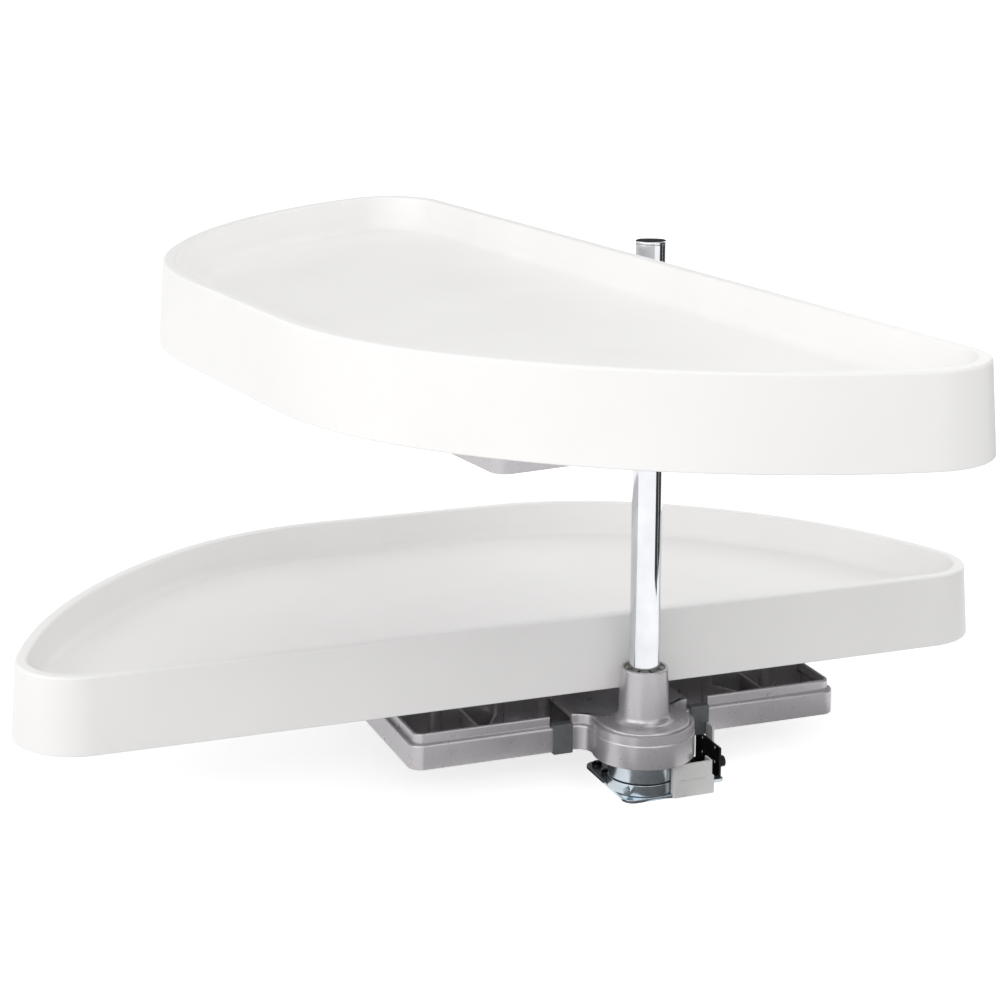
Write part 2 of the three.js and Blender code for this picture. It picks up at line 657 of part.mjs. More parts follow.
piece("front_bracket", frontBracket(), BRACKET_PAINT);
repeated(
  "front_bracket_rivet",
  sheetRivet(BRACKET_SHEET),
  RIVET_PLACES.map(([x, y]) => [x, y, BRACKET_RIVET_Z]),
  ZINC,
);

// ---------------------------------------------------------------- stile plate and stop

const STOP_RIVET_LEVELS = [STILE_BOTTOM + STOP_RIVET_PITCH / 2, STILE_BOTTOM + STOP_RIVET_PITCH * 1.5];

/** A cutting cylinder along X. */
function crossHole(diameter, y, z) {
  const radius = diameter / 2 + SCREW_CLEARANCE;
  const hole = disc(radius, STILE_X - THROUGH, STOP_X + STOP_SHEET + THROUGH, SMALL_STEPS);
  return hole.rotateY(Math.PI / 2).translate(0, y, z);
}

function stopHoles() {
  return STOP_RIVET_LEVELS.map((z) => crossHole(RIVET_DIAMETER, STOP_MIDDLE, z));
}

function stilePlate() {
  const right = STILE_X + STILE_SHEET;
  const flangeTop = STILE_BOTTOM + STILE_SHEET;
  const mountHoles = [0, 1].flatMap((column) => [0, 1].map((row) => crossHole(
    STILE_HOLE - 2 * SCREW_CLEARANCE,
    STILE_HOLE_NEAR + column * STILE_HOLE_PITCH,
    STILE_BOTTOM + STILE_HOLE_LOW + row * STILE_HOLE_RISE,
  )));
  return cut(
    joined(
      block(STILE_X, right, -STILE_FRONT, STILE_BACK, STILE_BOTTOM, STILE_TOP),
      block(STILE_X - STILE_FLANGE, right, -STILE_FRONT, STILE_BACK, STILE_BOTTOM, flangeTop),
    ),
    ...mountHoles,
    ...stopHoles(),
    crossHole(STILE_BOLT_SHANK, -STILE_BOLT_FRONT, STILE_BOTTOM + STILE_BOLT_LEVEL),
    screwHoles(FLANGE_SCREW_PLACES, RIVET_DIAMETER, STILE_BOTTOM, flangeTop),
  );
}

function stileBolt() {
  const bolt = hexHead(STILE_BOLT_ACROSS, STILE_BOLT_HEAD, STILE_BOLT_SHANK, STILE_BOLT_LENGTH);
  const seat = STILE_X + STILE_SHEET + SEAT;
  return bolt.rotateY(Math.PI / 2).translate(seat, -STILE_BOLT_FRONT, STILE_BOTTOM + STILE_BOLT_LEVEL);
}

function stopPlate() {
  const front = STOP_BACK - STOP_WIDTH;
  const outline = roundedRectangle(front, STOP_BACK, STILE_BOTTOM, STOP_TOP, CHAMFER, SMALL_CORNER_FACETS);
  return cut(bar(outline.map((p) => [p.x, p.y]), STOP_X, STOP_X + STOP_SHEET), ...stopHoles());
}

function stopRivet() {
  const length = STOP_SHEET + SEAT + STILE_SHEET + SEAT;
  return panHead(RIVET_HEAD, RIVET_HEAD_HEIGHT, RIVET_DIAMETER, length).rotateY(Math.PI / 2);
}

piece("stile_plate", stilePlate(), BLACK_STEEL);
repeated(
  "stile_plate_screw",
  sheetRivet(STILE_SHEET),
  FLANGE_SCREW_PLACES.map(([x, y]) => [x, y, STILE_BOTTOM + STILE_SHEET + SEAT]),
  BLACK_STEEL,
);
piece("stile_plate_bolt", stileBolt(), BLACK_STEEL);
piece("stop_plate", stopPlate(), BRACKET_PAINT);
repeated(
  "stop_plate_rivet",
  stopRivet(),
  STOP_RIVET_LEVELS.map((z) => [STOP_X + STOP_SHEET + SEAT, STOP_MIDDLE, z]),
  ZINC,
);

// ---------------------------------------------------------------- carriage casting

/** The casting's outline, drawn in by an inset: a rounded frame with the hub's round wall in front. */
function carriageOutline(inset) {
  const half = CARRIAGE_LENGTH / 2;
  const corner = CARRIAGE_CORNER;
  const radius = corner - inset;
  const meet = THREE.MathUtils.radToDeg(Math.atan2(SWEEP_Y, SWEEP_X));
  const sweep = HUB_SWEEP_RADIUS + inset;
  return [
    ...arc(-half + corner, CARRIAGE_FRONT + corner, radius, 180, 270, CORNER_FACETS),
    ...arc(-SWEEP_X, SWEEP_Y, sweep, 90, -meet, SWEEP_STEPS),
    ...arc(0, 0, HUB_RADIUS - inset, 180 - meet, 360 + meet, HUB_STEPS).slice(1, -1),
    ...arc(SWEEP_X, SWEEP_Y, sweep, 180 + meet, 90, SWEEP_STEPS),
    ...arc(half - corner, CARRIAGE_FRONT + corner, radius, 270, 360, CORNER_FACETS),
    ...arc(half - corner, CARRIAGE_BACK - corner, radius, 0, 90, CORNER_FACETS),
    ...arc(-half + corner, CARRIAGE_BACK - corner, radius, 90, 180, CORNER_FACETS),
  ];
}

function frameOutline(inset) {
  const half = CARRIAGE_LENGTH / 2 - inset;
  const corner = CARRIAGE_CORNER - inset;
  return roundedRectangle(-half, half, CARRIAGE_FRONT + inset, CARRIAGE_BACK - inset, corner);
}

/** The open-topped space in the frame, less the hub's wall and web. */
function frameCavity() {
  const ledge = SKIRT_HEIGHT - LEDGE;
  const open = LIP_TOP + THROUGH;
  const lower = prism(frameOutline(SKIRT_WALL), FRAME_FLOOR, ledge);
  const upper = prism(frameOutline(LIP_SETBACK + LIP_WALL), ledge - OVERLAP, open);
  const half = WEB_LENGTH / 2;
  const web = block(-half, half, 0, FRONT_TRACK_Y, LIP_TOP - HUB_TOP_PLATE, open + THROUGH);
  return cut(joined(lower, upper), disc(HUB_RADIUS, 0, open + THROUGH), web);
}

/** The space inside the hub's skirt, open below, round its boss. */
function hubCavity() {
  const inner = HUB_RADIUS - SKIRT_WALL;
  const space = disc(inner, -THROUGH, LIP_TOP - HUB_TOP_PLATE);
  return cut(space, disc(BORE_RADIUS + BOSS_WALL, BOSS_LIFT, LIP_TOP));
}

/** The tapered neck round the post, with the hollow curve at its foot. */
function hubCone() {
  const foot = CONE_FOOT_RADIUS;
  const [x, z] = [foot + CONE_FILLET, LIP_TOP + CONE_FILLET];
  const curve = arc(x, z, CONE_FILLET, CONE_FILLET_START, CONE_FILLET_END, FILLET_STEPS);
  return turned([
    [0, LIP_TOP - HUB_TOP_PLATE / 2],
    [foot + 2 * CONE_FILLET, LIP_TOP - HUB_TOP_PLATE / 2],
    [foot + 2 * CONE_FILLET, LIP_TOP],
    ...curve.map((p) => [p.x, p.y]),
    [CONE_TOP_RADIUS, CONE_TOP - CONE_RIM],
    [CONE_TOP_RADIUS - CONE_RIM, CONE_TOP],
    [0, CONE_TOP],
  ]);
}

const BOSS_COLUMNS = [INNER_BOSS_X, MIDDLE_BOSS_X, OUTER_BOSS_X].flatMap((x) => [-x, x]);
const TRACK_SCREW_PLACES = [FRONT_TRACK_Y, REAR_TRACK_Y].flatMap((y) => (
  [-OUTER_BOSS_X, OUTER_BOSS_X].map((x) => [x, y, TRACK_FLOOR_TOP])
));

/** A wall along the frame that carries a track, with a round boss at each screw. */
function trackWall(y) {
  const reach = CARRIAGE_LENGTH / 2 - SKIRT_WALL + OVERLAP;
  const low = FRAME_FLOOR - OVERLAP;
  const lower = block(-reach, reach, y - TRACK_WALL / 2, y + TRACK_WALL / 2, low, SKIRT_HEIGHT - LEDGE);
  const upperReach = TRACK_LENGTH / 2;
  const upper = block(-upperReach, upperReach, y - TRACK_WALL / 2, y + TRACK_WALL / 2, low, TRACK_WALL_TOP);
  const boss = disc(SCREW_BOSS_DIAMETER / 2, low, TRACK_WALL_TOP, SMALL_STEPS);
  return joined(lower, upper, ...BOSS_COLUMNS.map((x) => boss.clone().translate(x, y, 0)));
}

function rib(x, y0, y1, top) {
  return block(x - RIB_THICKNESS / 2, x + RIB_THICKNESS / 2, y0, y1, FRAME_FLOOR - OVERLAP, top);
}

/** A rib across the front channel at a slant, from the front wall to the screw boss. */
function slantedRib(side) {
  const from = new THREE.Vector2(side * RIB_X, CARRIAGE_FRONT + SKIRT_WALL);
  const to = new THREE.Vector2(side * MIDDLE_BOSS_X, FRONT_TRACK_Y);
  const along = to.clone().sub(from);
  const half = RIB_THICKNESS / 2;
  const geometry = block(0, along.length(), -half, half, FRAME_FLOOR - OVERLAP, REAR_RIB_TOP);
  return geometry.rotateZ(along.angle()).translate(from.x, from.y, 0);
}

function frameRibs() {
  const front = CARRIAGE_FRONT + SKIRT_WALL - OVERLAP;
  const back = CARRIAGE_BACK - SKIRT_WALL + OVERLAP;
  return [-1, 1].flatMap((side) => [
    rib(side * RIB_X, front, FRONT_TRACK_Y, RIB_TOP),
    rib(side * RIB_X, FRONT_TRACK_Y, REAR_TRACK_Y, REAR_RIB_TOP),
    rib(side * RIB_X, REAR_TRACK_Y, back, REAR_RIB_TOP),
    rib(side * INNER_BOSS_X, FRONT_TRACK_Y, REAR_TRACK_Y, REAR_RIB_TOP),
    slantedRib(side),
  ]);
}

function lipGap(side) {
  const half = BUMPER_WIDTH / 2 + BUMPER_GAP;
  const x = side * BUMPER_X;
  const inner = CARRIAGE_FRONT + SKIRT_WALL;
  const outer = CARRIAGE_FRONT - THROUGH;
  const back = CARRIAGE_FRONT + LIP_SETBACK + LIP_WALL + THROUGH;
  const ledge = SKIRT_HEIGHT - LEDGE - THROUGH;
  const aboveWall = block(x - half, x + half, outer, inner + OVERLAP, SKIRT_HEIGHT, LIP_TOP + THROUGH);
  const behindWall = block(x - half, x + half, inner, back, ledge, LIP_TOP + THROUGH);
  return joined(aboveWall, behindWall);
}

function trackScrewHoles() {
  const depth = TRACK_SCREW_LENGTH + THROUGH;
  const radius = TRACK_SCREW_SHANK / 2 + SCREW_CLEARANCE;
  const hole = disc(radius, TRACK_WALL_TOP - depth, TRACK_WALL_TOP + THROUGH, SMALL_STEPS);
  return TRACK_SCREW_PLACES.map(([x, y]) => hole.clone().translate(x, y, 0));
}

function carriageCasting() {
  const outside = joined(
    prism(carriageOutline(0), 0, SKIRT_HEIGHT),
    prism(carriageOutline(LIP_SETBACK), SKIRT_HEIGHT - OVERLAP, LIP_TOP),
  );
  const shell = cut(outside, frameCavity());
  const ribbed = joined(shell, trackWall(FRONT_TRACK_Y), trackWall(REAR_TRACK_Y), ...frameRibs());
  const hollowed = cut(ribbed, hubCavity());
  const withCone = joined(hollowed, hubCone());
  const bore = disc(BORE_RADIUS, -THROUGH, CONE_TOP + THROUGH);
  return cut(withCone, bore, lipGap(-1), lipGap(1), ...trackScrewHoles());
}

// ---------------------------------------------------------------- what the carriage carries

function bush(z0, z1) {
  return tube(BORE_RADIUS - BUSH_FIT, POST_BORE, z0, z1);
}

function notchedBush() {
  const top = CONE_TOP - TOP_BUSH_DROP;
  const notches = Array.from({ length: BUSH_NOTCHES }, (_, i) => {
    const half = BUSH_NOTCH_WIDTH / 2;
    const notch = block(POST_RADIUS, BORE_RADIUS, -half, half, top - BUSH_NOTCH_DEPTH, top + THROUGH);
    return notch.rotateZ((i * 2 * Math.PI) / BUSH_NOTCHES);
  });
  return cut(bush(top - TOP_BUSH_LENGTH, top), ...notches);
}

/** A clip bent over the frame's front wall, with a hook under it. */
function bumper(side) {
  const outer = BUMPER_FACE;
  const wallBack = CARRIAGE_FRONT + SKIRT_WALL + SEAT;
  const inner = wallBack + BUMPER_SHEET;
  const top = SKIRT_HEIGHT + SEAT + BUMPER_SHEET;
  const section = [
    [outer, -BUMPER_DROP],
    [wallBack, -BUMPER_DROP],
    [wallBack, -SEAT],
    [outer + BUMPER_SHEET, -SEAT],
    [outer + BUMPER_SHEET, SKIRT_HEIGHT + SEAT],
    [wallBack, SKIRT_HEIGHT + SEAT],
    [wallBack, SKIRT_HEIGHT - BUMPER_INNER_LEG],
    [inner, SKIRT_HEIGHT - BUMPER_INNER_LEG],
    [inner, top - CHAMFER / 2],
    [inner - CHAMFER / 2, top],
    [outer + CHAMFER, top],
    [outer, top - CHAMFER],
  ];
  const middle = side * BUMPER_X;
  return bar(section, middle - BUMPER_WIDTH / 2, middle + BUMPER_WIDTH / 2);
}

/** A lipped channel, open at the top, with a stop folded up at each end and two countersunk holes. */
function track(y) {
  const half = TRACK_WIDTH / 2;
  const inner = half - TRACK_SHEET;
  const mouth = half - TRACK_LIP;
  const lip = TRACK_TOP - TRACK_SHEET;
  const section = [
    [-half, TRACK_BOTTOM], [half, TRACK_BOTTOM], [half, TRACK_TOP], [mouth, TRACK_TOP],
    [mouth, lip], [inner, lip], [inner, TRACK_FLOOR_TOP], [-inner, TRACK_FLOOR_TOP],
    [-inner, lip], [-mouth, lip], [-mouth, TRACK_TOP], [-half, TRACK_TOP],
  ];
  const end = TRACK_LENGTH / 2;
  const channel = bar(section.map(([u, z]) => [y + u, z]), -end, end);
  const stopTop = GLIDE_TOP - TRACK_STOP_DROP;
  const stop = block(-TRACK_SHEET / 2, TRACK_SHEET / 2, y - inner, y + inner, TRACK_BOTTOM, stopTop);
  const stops = [-1, 1].map((side) => stop.clone().translate(side * (end - TRACK_SHEET / 2), 0, 0));
  const sink = flatHead(
    TRACK_SCREW_HEAD + 2 * SCREW_CLEARANCE,
    TRACK_SHEET,
    TRACK_SCREW_SHANK + 2 * SCREW_CLEARANCE,
    2 * TRACK_SHEET,
  );
  const sinks = [-1, 1].map((side) => sink.clone().translate(side * OUTER_BOSS_X, y, TRACK_FLOOR_TOP));
  return cut(joined(channel, ...stops), ...sinks);
}

// ---------------------------------------------------------------- tray and its runners

/** Where the circle of the tray's end meets the corner's circle and the shoulder's from inside. */
function endCentre(corner, shoulder) {
  const toCorner = TRAY_END_RADIUS - TRAY_CORNER_RADIUS;
  const toShoulder = TRAY_END_RADIUS - TRAY_SHOULDER_RADIUS;
  const line = shoulder.clone().sub(corner);
  const gap = line.length();
  const along = (toCorner ** 2 - toShoulder ** 2 + gap ** 2) / (2 * gap);
  const off = Math.sqrt(toCorner ** 2 - along ** 2);
  line.normalize();
  const foot = corner.clone().addScaledVector(line, along);
  return foot.add(new THREE.Vector2(-line.y, line.x).multiplyScalar(off));
}

function angleOf(from, to) {
  return THREE.MathUtils.radToDeg(Math.atan2(to.y - from.y, to.x - from.x));
}

/** The D shape, drawn in by an inset: a straight edge on y = 0, round corners and a flatter back. */
function trayOutline(inset) {
  const corner = new THREE.Vector2(TRAY_WIDTH / 2 - TRAY_CORNER_RADIUS, TRAY_CORNER_RADIUS);
  const shoulder = new THREE.Vector2(TRAY_BACK_FLAT / 2, TRAY_DEPTH - TRAY_SHOULDER_RADIUS);
  const end = endCentre(corner, shoulder);
  const turnIn = angleOf(end, corner);
  const turnBack = angleOf(end, shoulder);
  const right = [
    ...arc(corner.x, corner.y, TRAY_CORNER_RADIUS - inset, -90, turnIn, CORNER_STEPS),
    ...arc(end.x, end.y, TRAY_END_RADIUS - inset, turnIn, turnBack, END_STEPS).slice(1),
    ...arc(shoulder.x, shoulder.y, TRAY_SHOULDER_RADIUS - inset, turnBack, 90, SHOULDER_STEPS).slice(1),
  ];
  const left = right.map((p) => new THREE.Vector2(-p.x, p.y)).reverse();
  return [...right, ...left];
}

function traySkin(stations) {
  return loft(stations.map(([inset, z]) => ({ outline: trayOutline(inset), z })));
}

const TRAY_INNER_EDGE = TRAY_FLARE + TRAY_RIM;
const TRAY_BOWL_FOOT = TRAY_INNER_EDGE + TRAY_BOWL_SLOPE;

/** Stations down the inside of the bowl, moved out and down by the thickness of its skin. */
function bowlStations(skin, floor) {
  const radius = TRAY_BOWL_FILLET;
  const centre = TRAY_BOWL_FOOT + radius;
  const fillet = arc(centre, floor + radius, radius, TRAY_FILLET_START, 270, FILLET_STEPS);
  return fillet.map((p) => [p.x - skin, p.y]).reverse();
}

function trayBowl() {
  return traySkin([
    ...bowlStations(0, TRAY_FLOOR_TOP),
    [TRAY_INNER_EDGE, TRAY_HEIGHT - TRAY_EDGE],
    [TRAY_INNER_EDGE - TRAY_EDGE, TRAY_HEIGHT],
    [TRAY_INNER_EDGE - TRAY_EDGE, TRAY_HEIGHT + THROUGH],
  ]);
}

/** The hollow under the rim and the floor. */
function trayUnderside() {
  const roof = TRAY_HEIGHT - TRAY_SKIN;
  const space = traySkin([
    [TRAY_SKIN, -THROUGH],
    [TRAY_SKIN + TRAY_FLARE, roof],
  ]);
  const bowl = traySkin([
    ...bowlStations(TRAY_SKIN, TRAY_FLOOR_BOTTOM),
    [TRAY_INNER_EDGE - TRAY_SKIN, roof + THROUGH],
  ]);
  const reach = runnerReach() + TRAY_PAD_MARGIN;
  const half = RUNNER_FLANGE / 2 + TRAY_PAD_MARGIN;
  const pads = [FRONT_TRACK_Y, REAR_TRACK_Y].map((y) => {
    const middle = y - TRAY_STANDOFF;
    return block(-reach, reach, middle - half, middle + half, TRAY_PAD_BOTTOM, TRAY_FLOOR_TOP);
  });
  return cut(space, bowl, ...pads);
}

/** Half the runners' length: as far as the tray's curved wall lets the rear one go. */
function runnerReach() {
  const back = REAR_TRACK_Y + RUNNER_FLANGE / 2 - TRAY_STANDOFF;
  const wall = trayOutline(TRAY_FLARE + TRAY_SKIN).filter((p) => p.x > 0);
  const above = wall.find((p) => p.y >= back);
  return above.x - RUNNER_END_GAP;
}

function stakePlaces(y) {
  return STAKE_X.flatMap((x) => [-1, 1].map((side) => [x, y + side * STAKE_Y]));
}

/** A stake moulded on the tray's pad, through the runner's flange, with its end spread into a head. */
function stake() {
  const headTop = FLANGE_BOTTOM - SEAT;
  return turned([
    [0, headTop - STAKE_HEAD_HEIGHT],
    [STAKE_HEAD / 2, headTop - STAKE_HEAD_HEIGHT],
    [STAKE_HEAD / 2, headTop],
    [STAKE_DIAMETER / 2, headTop],
    [STAKE_DIAMETER / 2, RUNNER_TOP + SEAT + OVERLAP],
    [0, RUNNER_TOP + SEAT + OVERLAP],
  ], SMALL_STEPS);
}

function tray() {
  const outside = traySkin([
    [TRAY_EDGE / 2, 0],
    [0, TRAY_EDGE],
    [TRAY_FLARE, TRAY_HEIGHT - TRAY_EDGE],
    [TRAY_FLARE + TRAY_EDGE, TRAY_HEIGHT],
  ]);
  const shell = cut(outside, trayBowl(), trayUnderside()).translate(0, TRAY_STANDOFF, TRAY_LIFT);
  const places = [FRONT_TRACK_Y, REAR_TRACK_Y].flatMap(stakePlaces);
  return joined(shell, ...places.map(([x, y]) => stake().translate(x, y, 0)));
}

/** A runner: a T with its foot held in the track and its flange under the tray. */
function runner(y) {
  const [web, foot, flange] = [RUNNER_WEB / 2, RUNNER_FOOT / 2, RUNNER_FLANGE / 2];
  const footTop = FOOT_BOTTOM + RUNNER_FOOT_THICKNESS;
  const section = [
    [-foot, FOOT_BOTTOM], [foot, FOOT_BOTTOM], [foot, footTop], [web, footTop], [web, FLANGE_BOTTOM],
    [flange, FLANGE_BOTTOM], [flange, RUNNER_TOP], [-flange, RUNNER_TOP], [-flange, FLANGE_BOTTOM],
    [-web, FLANGE_BOTTOM], [-web, footTop], [-foot, footTop],
  ];
  const beam = bar(section.map(([u, z]) => [y + u, z]), -runnerReach(), runnerReach());
  return cut(beam, screwHoles(stakePlaces(y), STAKE_DIAMETER, FLANGE_BOTTOM, RUNNER_TOP));
}

function glide(y) {
  const half = TRACK_WIDTH / 2 - TRACK_SHEET - GLIDE_FIT;
  const end = GLIDE_LENGTH / 2;
  const outline = roundedRectangle(-end, end, y - half, y + half, GLIDE_CORNER, SMALL_CORNER_FACETS);
  return prism(outline, GLIDE_BOTTOM, GLIDE_TOP);
}

// ---------------------------------------------------------------- the two levels

function washer(z) {
  const inner = POST_BORE + WASHER_SLACK;
  return tube(inner + WASHER_WIDTH, inner, z, z + WASHER_THICKNESS);
}

/** One level: a carriage on the post, and a tray that slides on it. */
function level(name, z, turn, slide) {
  const carriage = new THREE.Group();
  carriage.position.set(0, 0, z);
  carriage.rotation.z = THREE.MathUtils.degToRad(turn);
  cabinet.add(carriage);
  const sliding = new THREE.Group();
  sliding.position.x = slide;
  carriage.add(sliding);
  piece(`${name}_carriage`, carriageCasting(), CAST_PAINT, carriage);
  piece(`${name}_top_bush`, notchedBush(), BUSH_PLASTIC, carriage);
  piece(`${name}_bottom_bush`, bush(BOSS_LIFT, BOSS_LIFT + BOTTOM_BUSH_LENGTH), BUSH_PLASTIC, carriage);
  piece(`${name}_left_bumper`, bumper(-1), BUMPER_PLASTIC, carriage);
  piece(`${name}_right_bumper`, bumper(1), BUMPER_PLASTIC, carriage);
  const screw = flatHead(TRACK_SCREW_HEAD, TRACK_SHEET, TRACK_SCREW_SHANK, TRACK_SCREW_LENGTH);
  repeated(`${name}_track_screw`, screw, TRACK_SCREW_PLACES, ZINC, carriage);
  for (const [side, y] of [["front", FRONT_TRACK_Y], ["rear", REAR_TRACK_Y]]) {
    piece(`${name}_${side}_track`, track(y), TRACK_STEEL, carriage);
    piece(`${name}_${side}_runner`, runner(y), RUNNER_ALLOY, sliding);
    piece(`${name}_${side}_glide`, glide(y), GLIDE_PLASTIC, sliding);
  }
  piece(`${name}_tray`, tray(), WHITE_POLYMER, sliding);
}

const COLLAR_RADIUS = COLLAR_DIAMETER / 2;
const COLLAR_TOP = UPPER_CARRIAGE_Z + BOSS_LIFT - SEAT - WASHER_THICKNESS - SEAT;
const COLLAR_BOTTOM = COLLAR_TOP - COLLAR_HEIGHT;
const COLLAR_SCREW_LEVEL = COLLAR_BOTTOM + COLLAR_HEIGHT / 2;

piece("lower_thrust_washer", washer(WASHER_BOTTOM), BUSH_PLASTIC);
level("lower", LOWER_CARRIAGE_Z, 0, LOWER_SLIDE);
piece("upper_collar", boredRing(COLLAR_RADIUS, COLLAR_BOTTOM, COLLAR_TOP, COLLAR_SCREW_LEVEL), ZINC);
piece("collar_set_screw", setScrew(COLLAR_RADIUS, COLLAR_SCREW_LEVEL), BLACK_STEEL);
piece("upper_thrust_washer", washer(COLLAR_TOP + SEAT), BUSH_PLASTIC);
level("upper", UPPER_CARRIAGE_Z, UPPER_TURN, UPPER_SLIDE);

export default cabinet;
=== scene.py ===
"""Looks of a two-level corner carousel fitting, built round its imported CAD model.

Lengths are millimetres until a mesh is made. The origin is on the post's axis, at the underside of the base
plate; +X runs along the straight edge of the lower tray and +Y from the post to that tray's curved side.
"""
import math

import bmesh
import bpy
from mathutils import Matrix, Vector

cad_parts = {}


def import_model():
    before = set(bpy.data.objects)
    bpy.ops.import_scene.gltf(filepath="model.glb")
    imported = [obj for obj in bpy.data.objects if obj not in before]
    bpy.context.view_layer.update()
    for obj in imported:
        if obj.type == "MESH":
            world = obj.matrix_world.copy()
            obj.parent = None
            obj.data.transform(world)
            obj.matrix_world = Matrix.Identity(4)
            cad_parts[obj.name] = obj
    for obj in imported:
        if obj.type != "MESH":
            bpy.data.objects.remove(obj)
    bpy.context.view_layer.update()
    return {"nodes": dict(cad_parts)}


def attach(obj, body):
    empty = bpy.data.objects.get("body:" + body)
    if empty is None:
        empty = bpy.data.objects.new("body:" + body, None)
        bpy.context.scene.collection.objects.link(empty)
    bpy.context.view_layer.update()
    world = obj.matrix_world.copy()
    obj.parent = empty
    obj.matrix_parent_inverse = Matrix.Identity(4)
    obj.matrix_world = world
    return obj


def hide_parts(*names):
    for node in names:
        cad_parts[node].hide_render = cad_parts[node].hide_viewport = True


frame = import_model()

MM = 0.001
WELD = 1e-6  # metres: vertices closer than this are one
ROUND_STEPS, SMALL_STEPS, STAKE_STEPS = 96, 40, 24
CORNER_STEPS, BOX_STEPS, FINE_STEPS, NECK_STEPS = 5, 6, 8, 9
SWEEP_STEPS, HUB_STEPS, FRAME_STEPS, BITE_STEPS, SHADE_CARD_STEPS = 14, 72, 10, 24, 24
TRAY_CORNER_STEPS, TRAY_END_STEPS, TRAY_BACK_STEPS = 22, 40, 26
SEAT = 0.3
SLACK = 0.2  # radians by which an outline may turn back on itself
BITE = 0.5  # by which the shells of one piece run into each other
NUDGE = 0.05  # by which faces that would share a plane are kept apart
NOISE_LOW, NOISE_HIGH = 0.3, 0.7  # the range in which most of a noise's values lie
EDGE_SEGMENTS, EDGE_ANGLE = 3, 38  # edges that turn by more than the angle are rounded
NODE_BEVEL, NODE_SEGMENTS, NODE_ANGLE = 0.25, 2, 40

# ---------------------------------------- stage, in metres

LAMP_DISTANCE, LAMP_SIZE, LIT_POINT = 3.2, 2.6, (0, 0, 0.25)
STRIP_LENGTH, STRIP_WIDTH = 3.0, 0.7
WORLD_LIGHT = 0.62
# Heights of the black cards seen only in gloss, which paint dark reflections into polished metal:
DARK_REFLECTION_HEIGHT, BACK_DARK_REFLECTION_HEIGHTS = 1.4, (0.56, 1.1)
# shades of the cards seen only in gloss, which paint dark reflections and reflected floor shade
PAINTED_SHADE_BLACK, PAINTED_SHADE_GREY = 0.01, 0.3
FLOOR_HALF, FLOOR_GREY, FLOOR_GLOW = 9.0, 0.6, 0.76

# ---------------------------------------- stage, in millimetres and degrees

CAMERA_PLACE = (-786.4, -1710.5, 768.5)
CAMERA_YAW, CAMERA_PITCH, CAMERA_ROLL = 20.97, 10.54, 0.23
CAMERA_LENS, CAMERA_SENSOR, CAMERA_SHIFT = 84.56, 36, -0.2  # the shift is a share of the sensor
# Cards over the floor, seen only in gloss: painted floor shade under and in front of the object, in
# reflections.
SHADE_CARD_INNER, SHADE_CARD_MIDDLE, SHADE_CARD_OUTER = 33, 135, 285
SHADE_CARD_SPAN, FAR_SHADE_CARD_SPAN = (-148, -50), (-128, 12)
LEFT_SHADE_CARD, UNDER_SHADE_CARD = (-190, -40, -105, -45), (-195, 195, 20, 247)
HIGH_SHADE_CARD_Z, LOW_SHADE_CARD_Z = 0.3, 0.2

# ---------------------------------------- dimensions, as in the CAD model

UPPER_TURN = 97.8
LOWER_SLIDE = -80.9
UPPER_SLIDE = -54.9
LOWER_CARRIAGE_Z = 31.9
UPPER_CARRIAGE_Z = 348.6

POST_RADIUS = 12.7
POST_WALL = 1.6
POST_BORE = 13.0
POST_BOTTOM = 3.3
POST_TOP = 466.3
CAP_TOP = 469.19
CAP_PLUG, CAP_DOME = 14, 0.5

BASE_THICKNESS = 3
BASE_LEFT, BASE_RIGHT, BASE_FRONT, BASE_BACK = -28, 50, -30.5, 62
BASE_CORNER, BASE_EDGE = 9, 0.5
EAR_RIGHT, EAR_FRONT, EAR_BACK = 70.5, -12.5, 38
EAR_CORNER, EAR_HOLLOW = 3, 2
BASE_SCREW_INSET = 9
BASE_SCREW_PITCH = 20
BASE_SCREW_HEAD = 9.5
BASE_SCREW_HEIGHT = 3

SOCKET_RADIUS = 29.5
SOCKET_BOTTOM, SOCKET_TOP = 3.3, 13.0
GASKET_BOTTOM, GASKET_TOP, GASKET_INSET, GASKET_SWELL = 13.3, 14.1, 1.1, 0.2
CUP_BOTTOM, CUP_TOP, CUP_WALL, CUP_LID = 14.4, 34.0, 4, 5
SET_SCREW_ACROSS, SET_SCREW_HEAD, SET_SCREW_ANGLE = 7, 4, 222.8
WASHER_THICKNESS, WASHER_INNER, WASHER_OUTER = 3, 14.5, 20.5
LOWER_WASHER_Z = 34.3
COLLAR_RADIUS, COLLAR_BOTTOM, COLLAR_TOP = 24, 330.7, 350.7

BRACKET_LEFT, BRACKET_RIGHT, BRACKET_FACE = 13.5, 49.5, -32.5
BRACKET_BOTTOM, BRACKET_TOP, BRACKET_SHEET = 0.5, 29.4, 1.7
BRACKET_STEP, BRACKET_STEP_Z = 1.6, 16.0
BRACKET_BEND, BRACKET_RETURN_GAP, BRACKET_STEP_SLOPE = 2.6, 1.4, 1.8
BRACKET_FLANGE_LEFT, BRACKET_FLANGE_DEPTH, BRACKET_RIGHT_RETURN = 30.9, 15, 12
BRACKET_FLANGE_CORNER, BRACKET_FLANGE_LAP, BRACKET_FLANGE_SIDE = 1.2, 0.6, 0.4
SLIT_LENGTH, SLIT_HEIGHT, SLIT_DEPTH, SLIT_Z = 22, 0.9, 0.6, 14.8
RIVET_HEAD, RIVET_HEIGHT = 5.5, 1.4

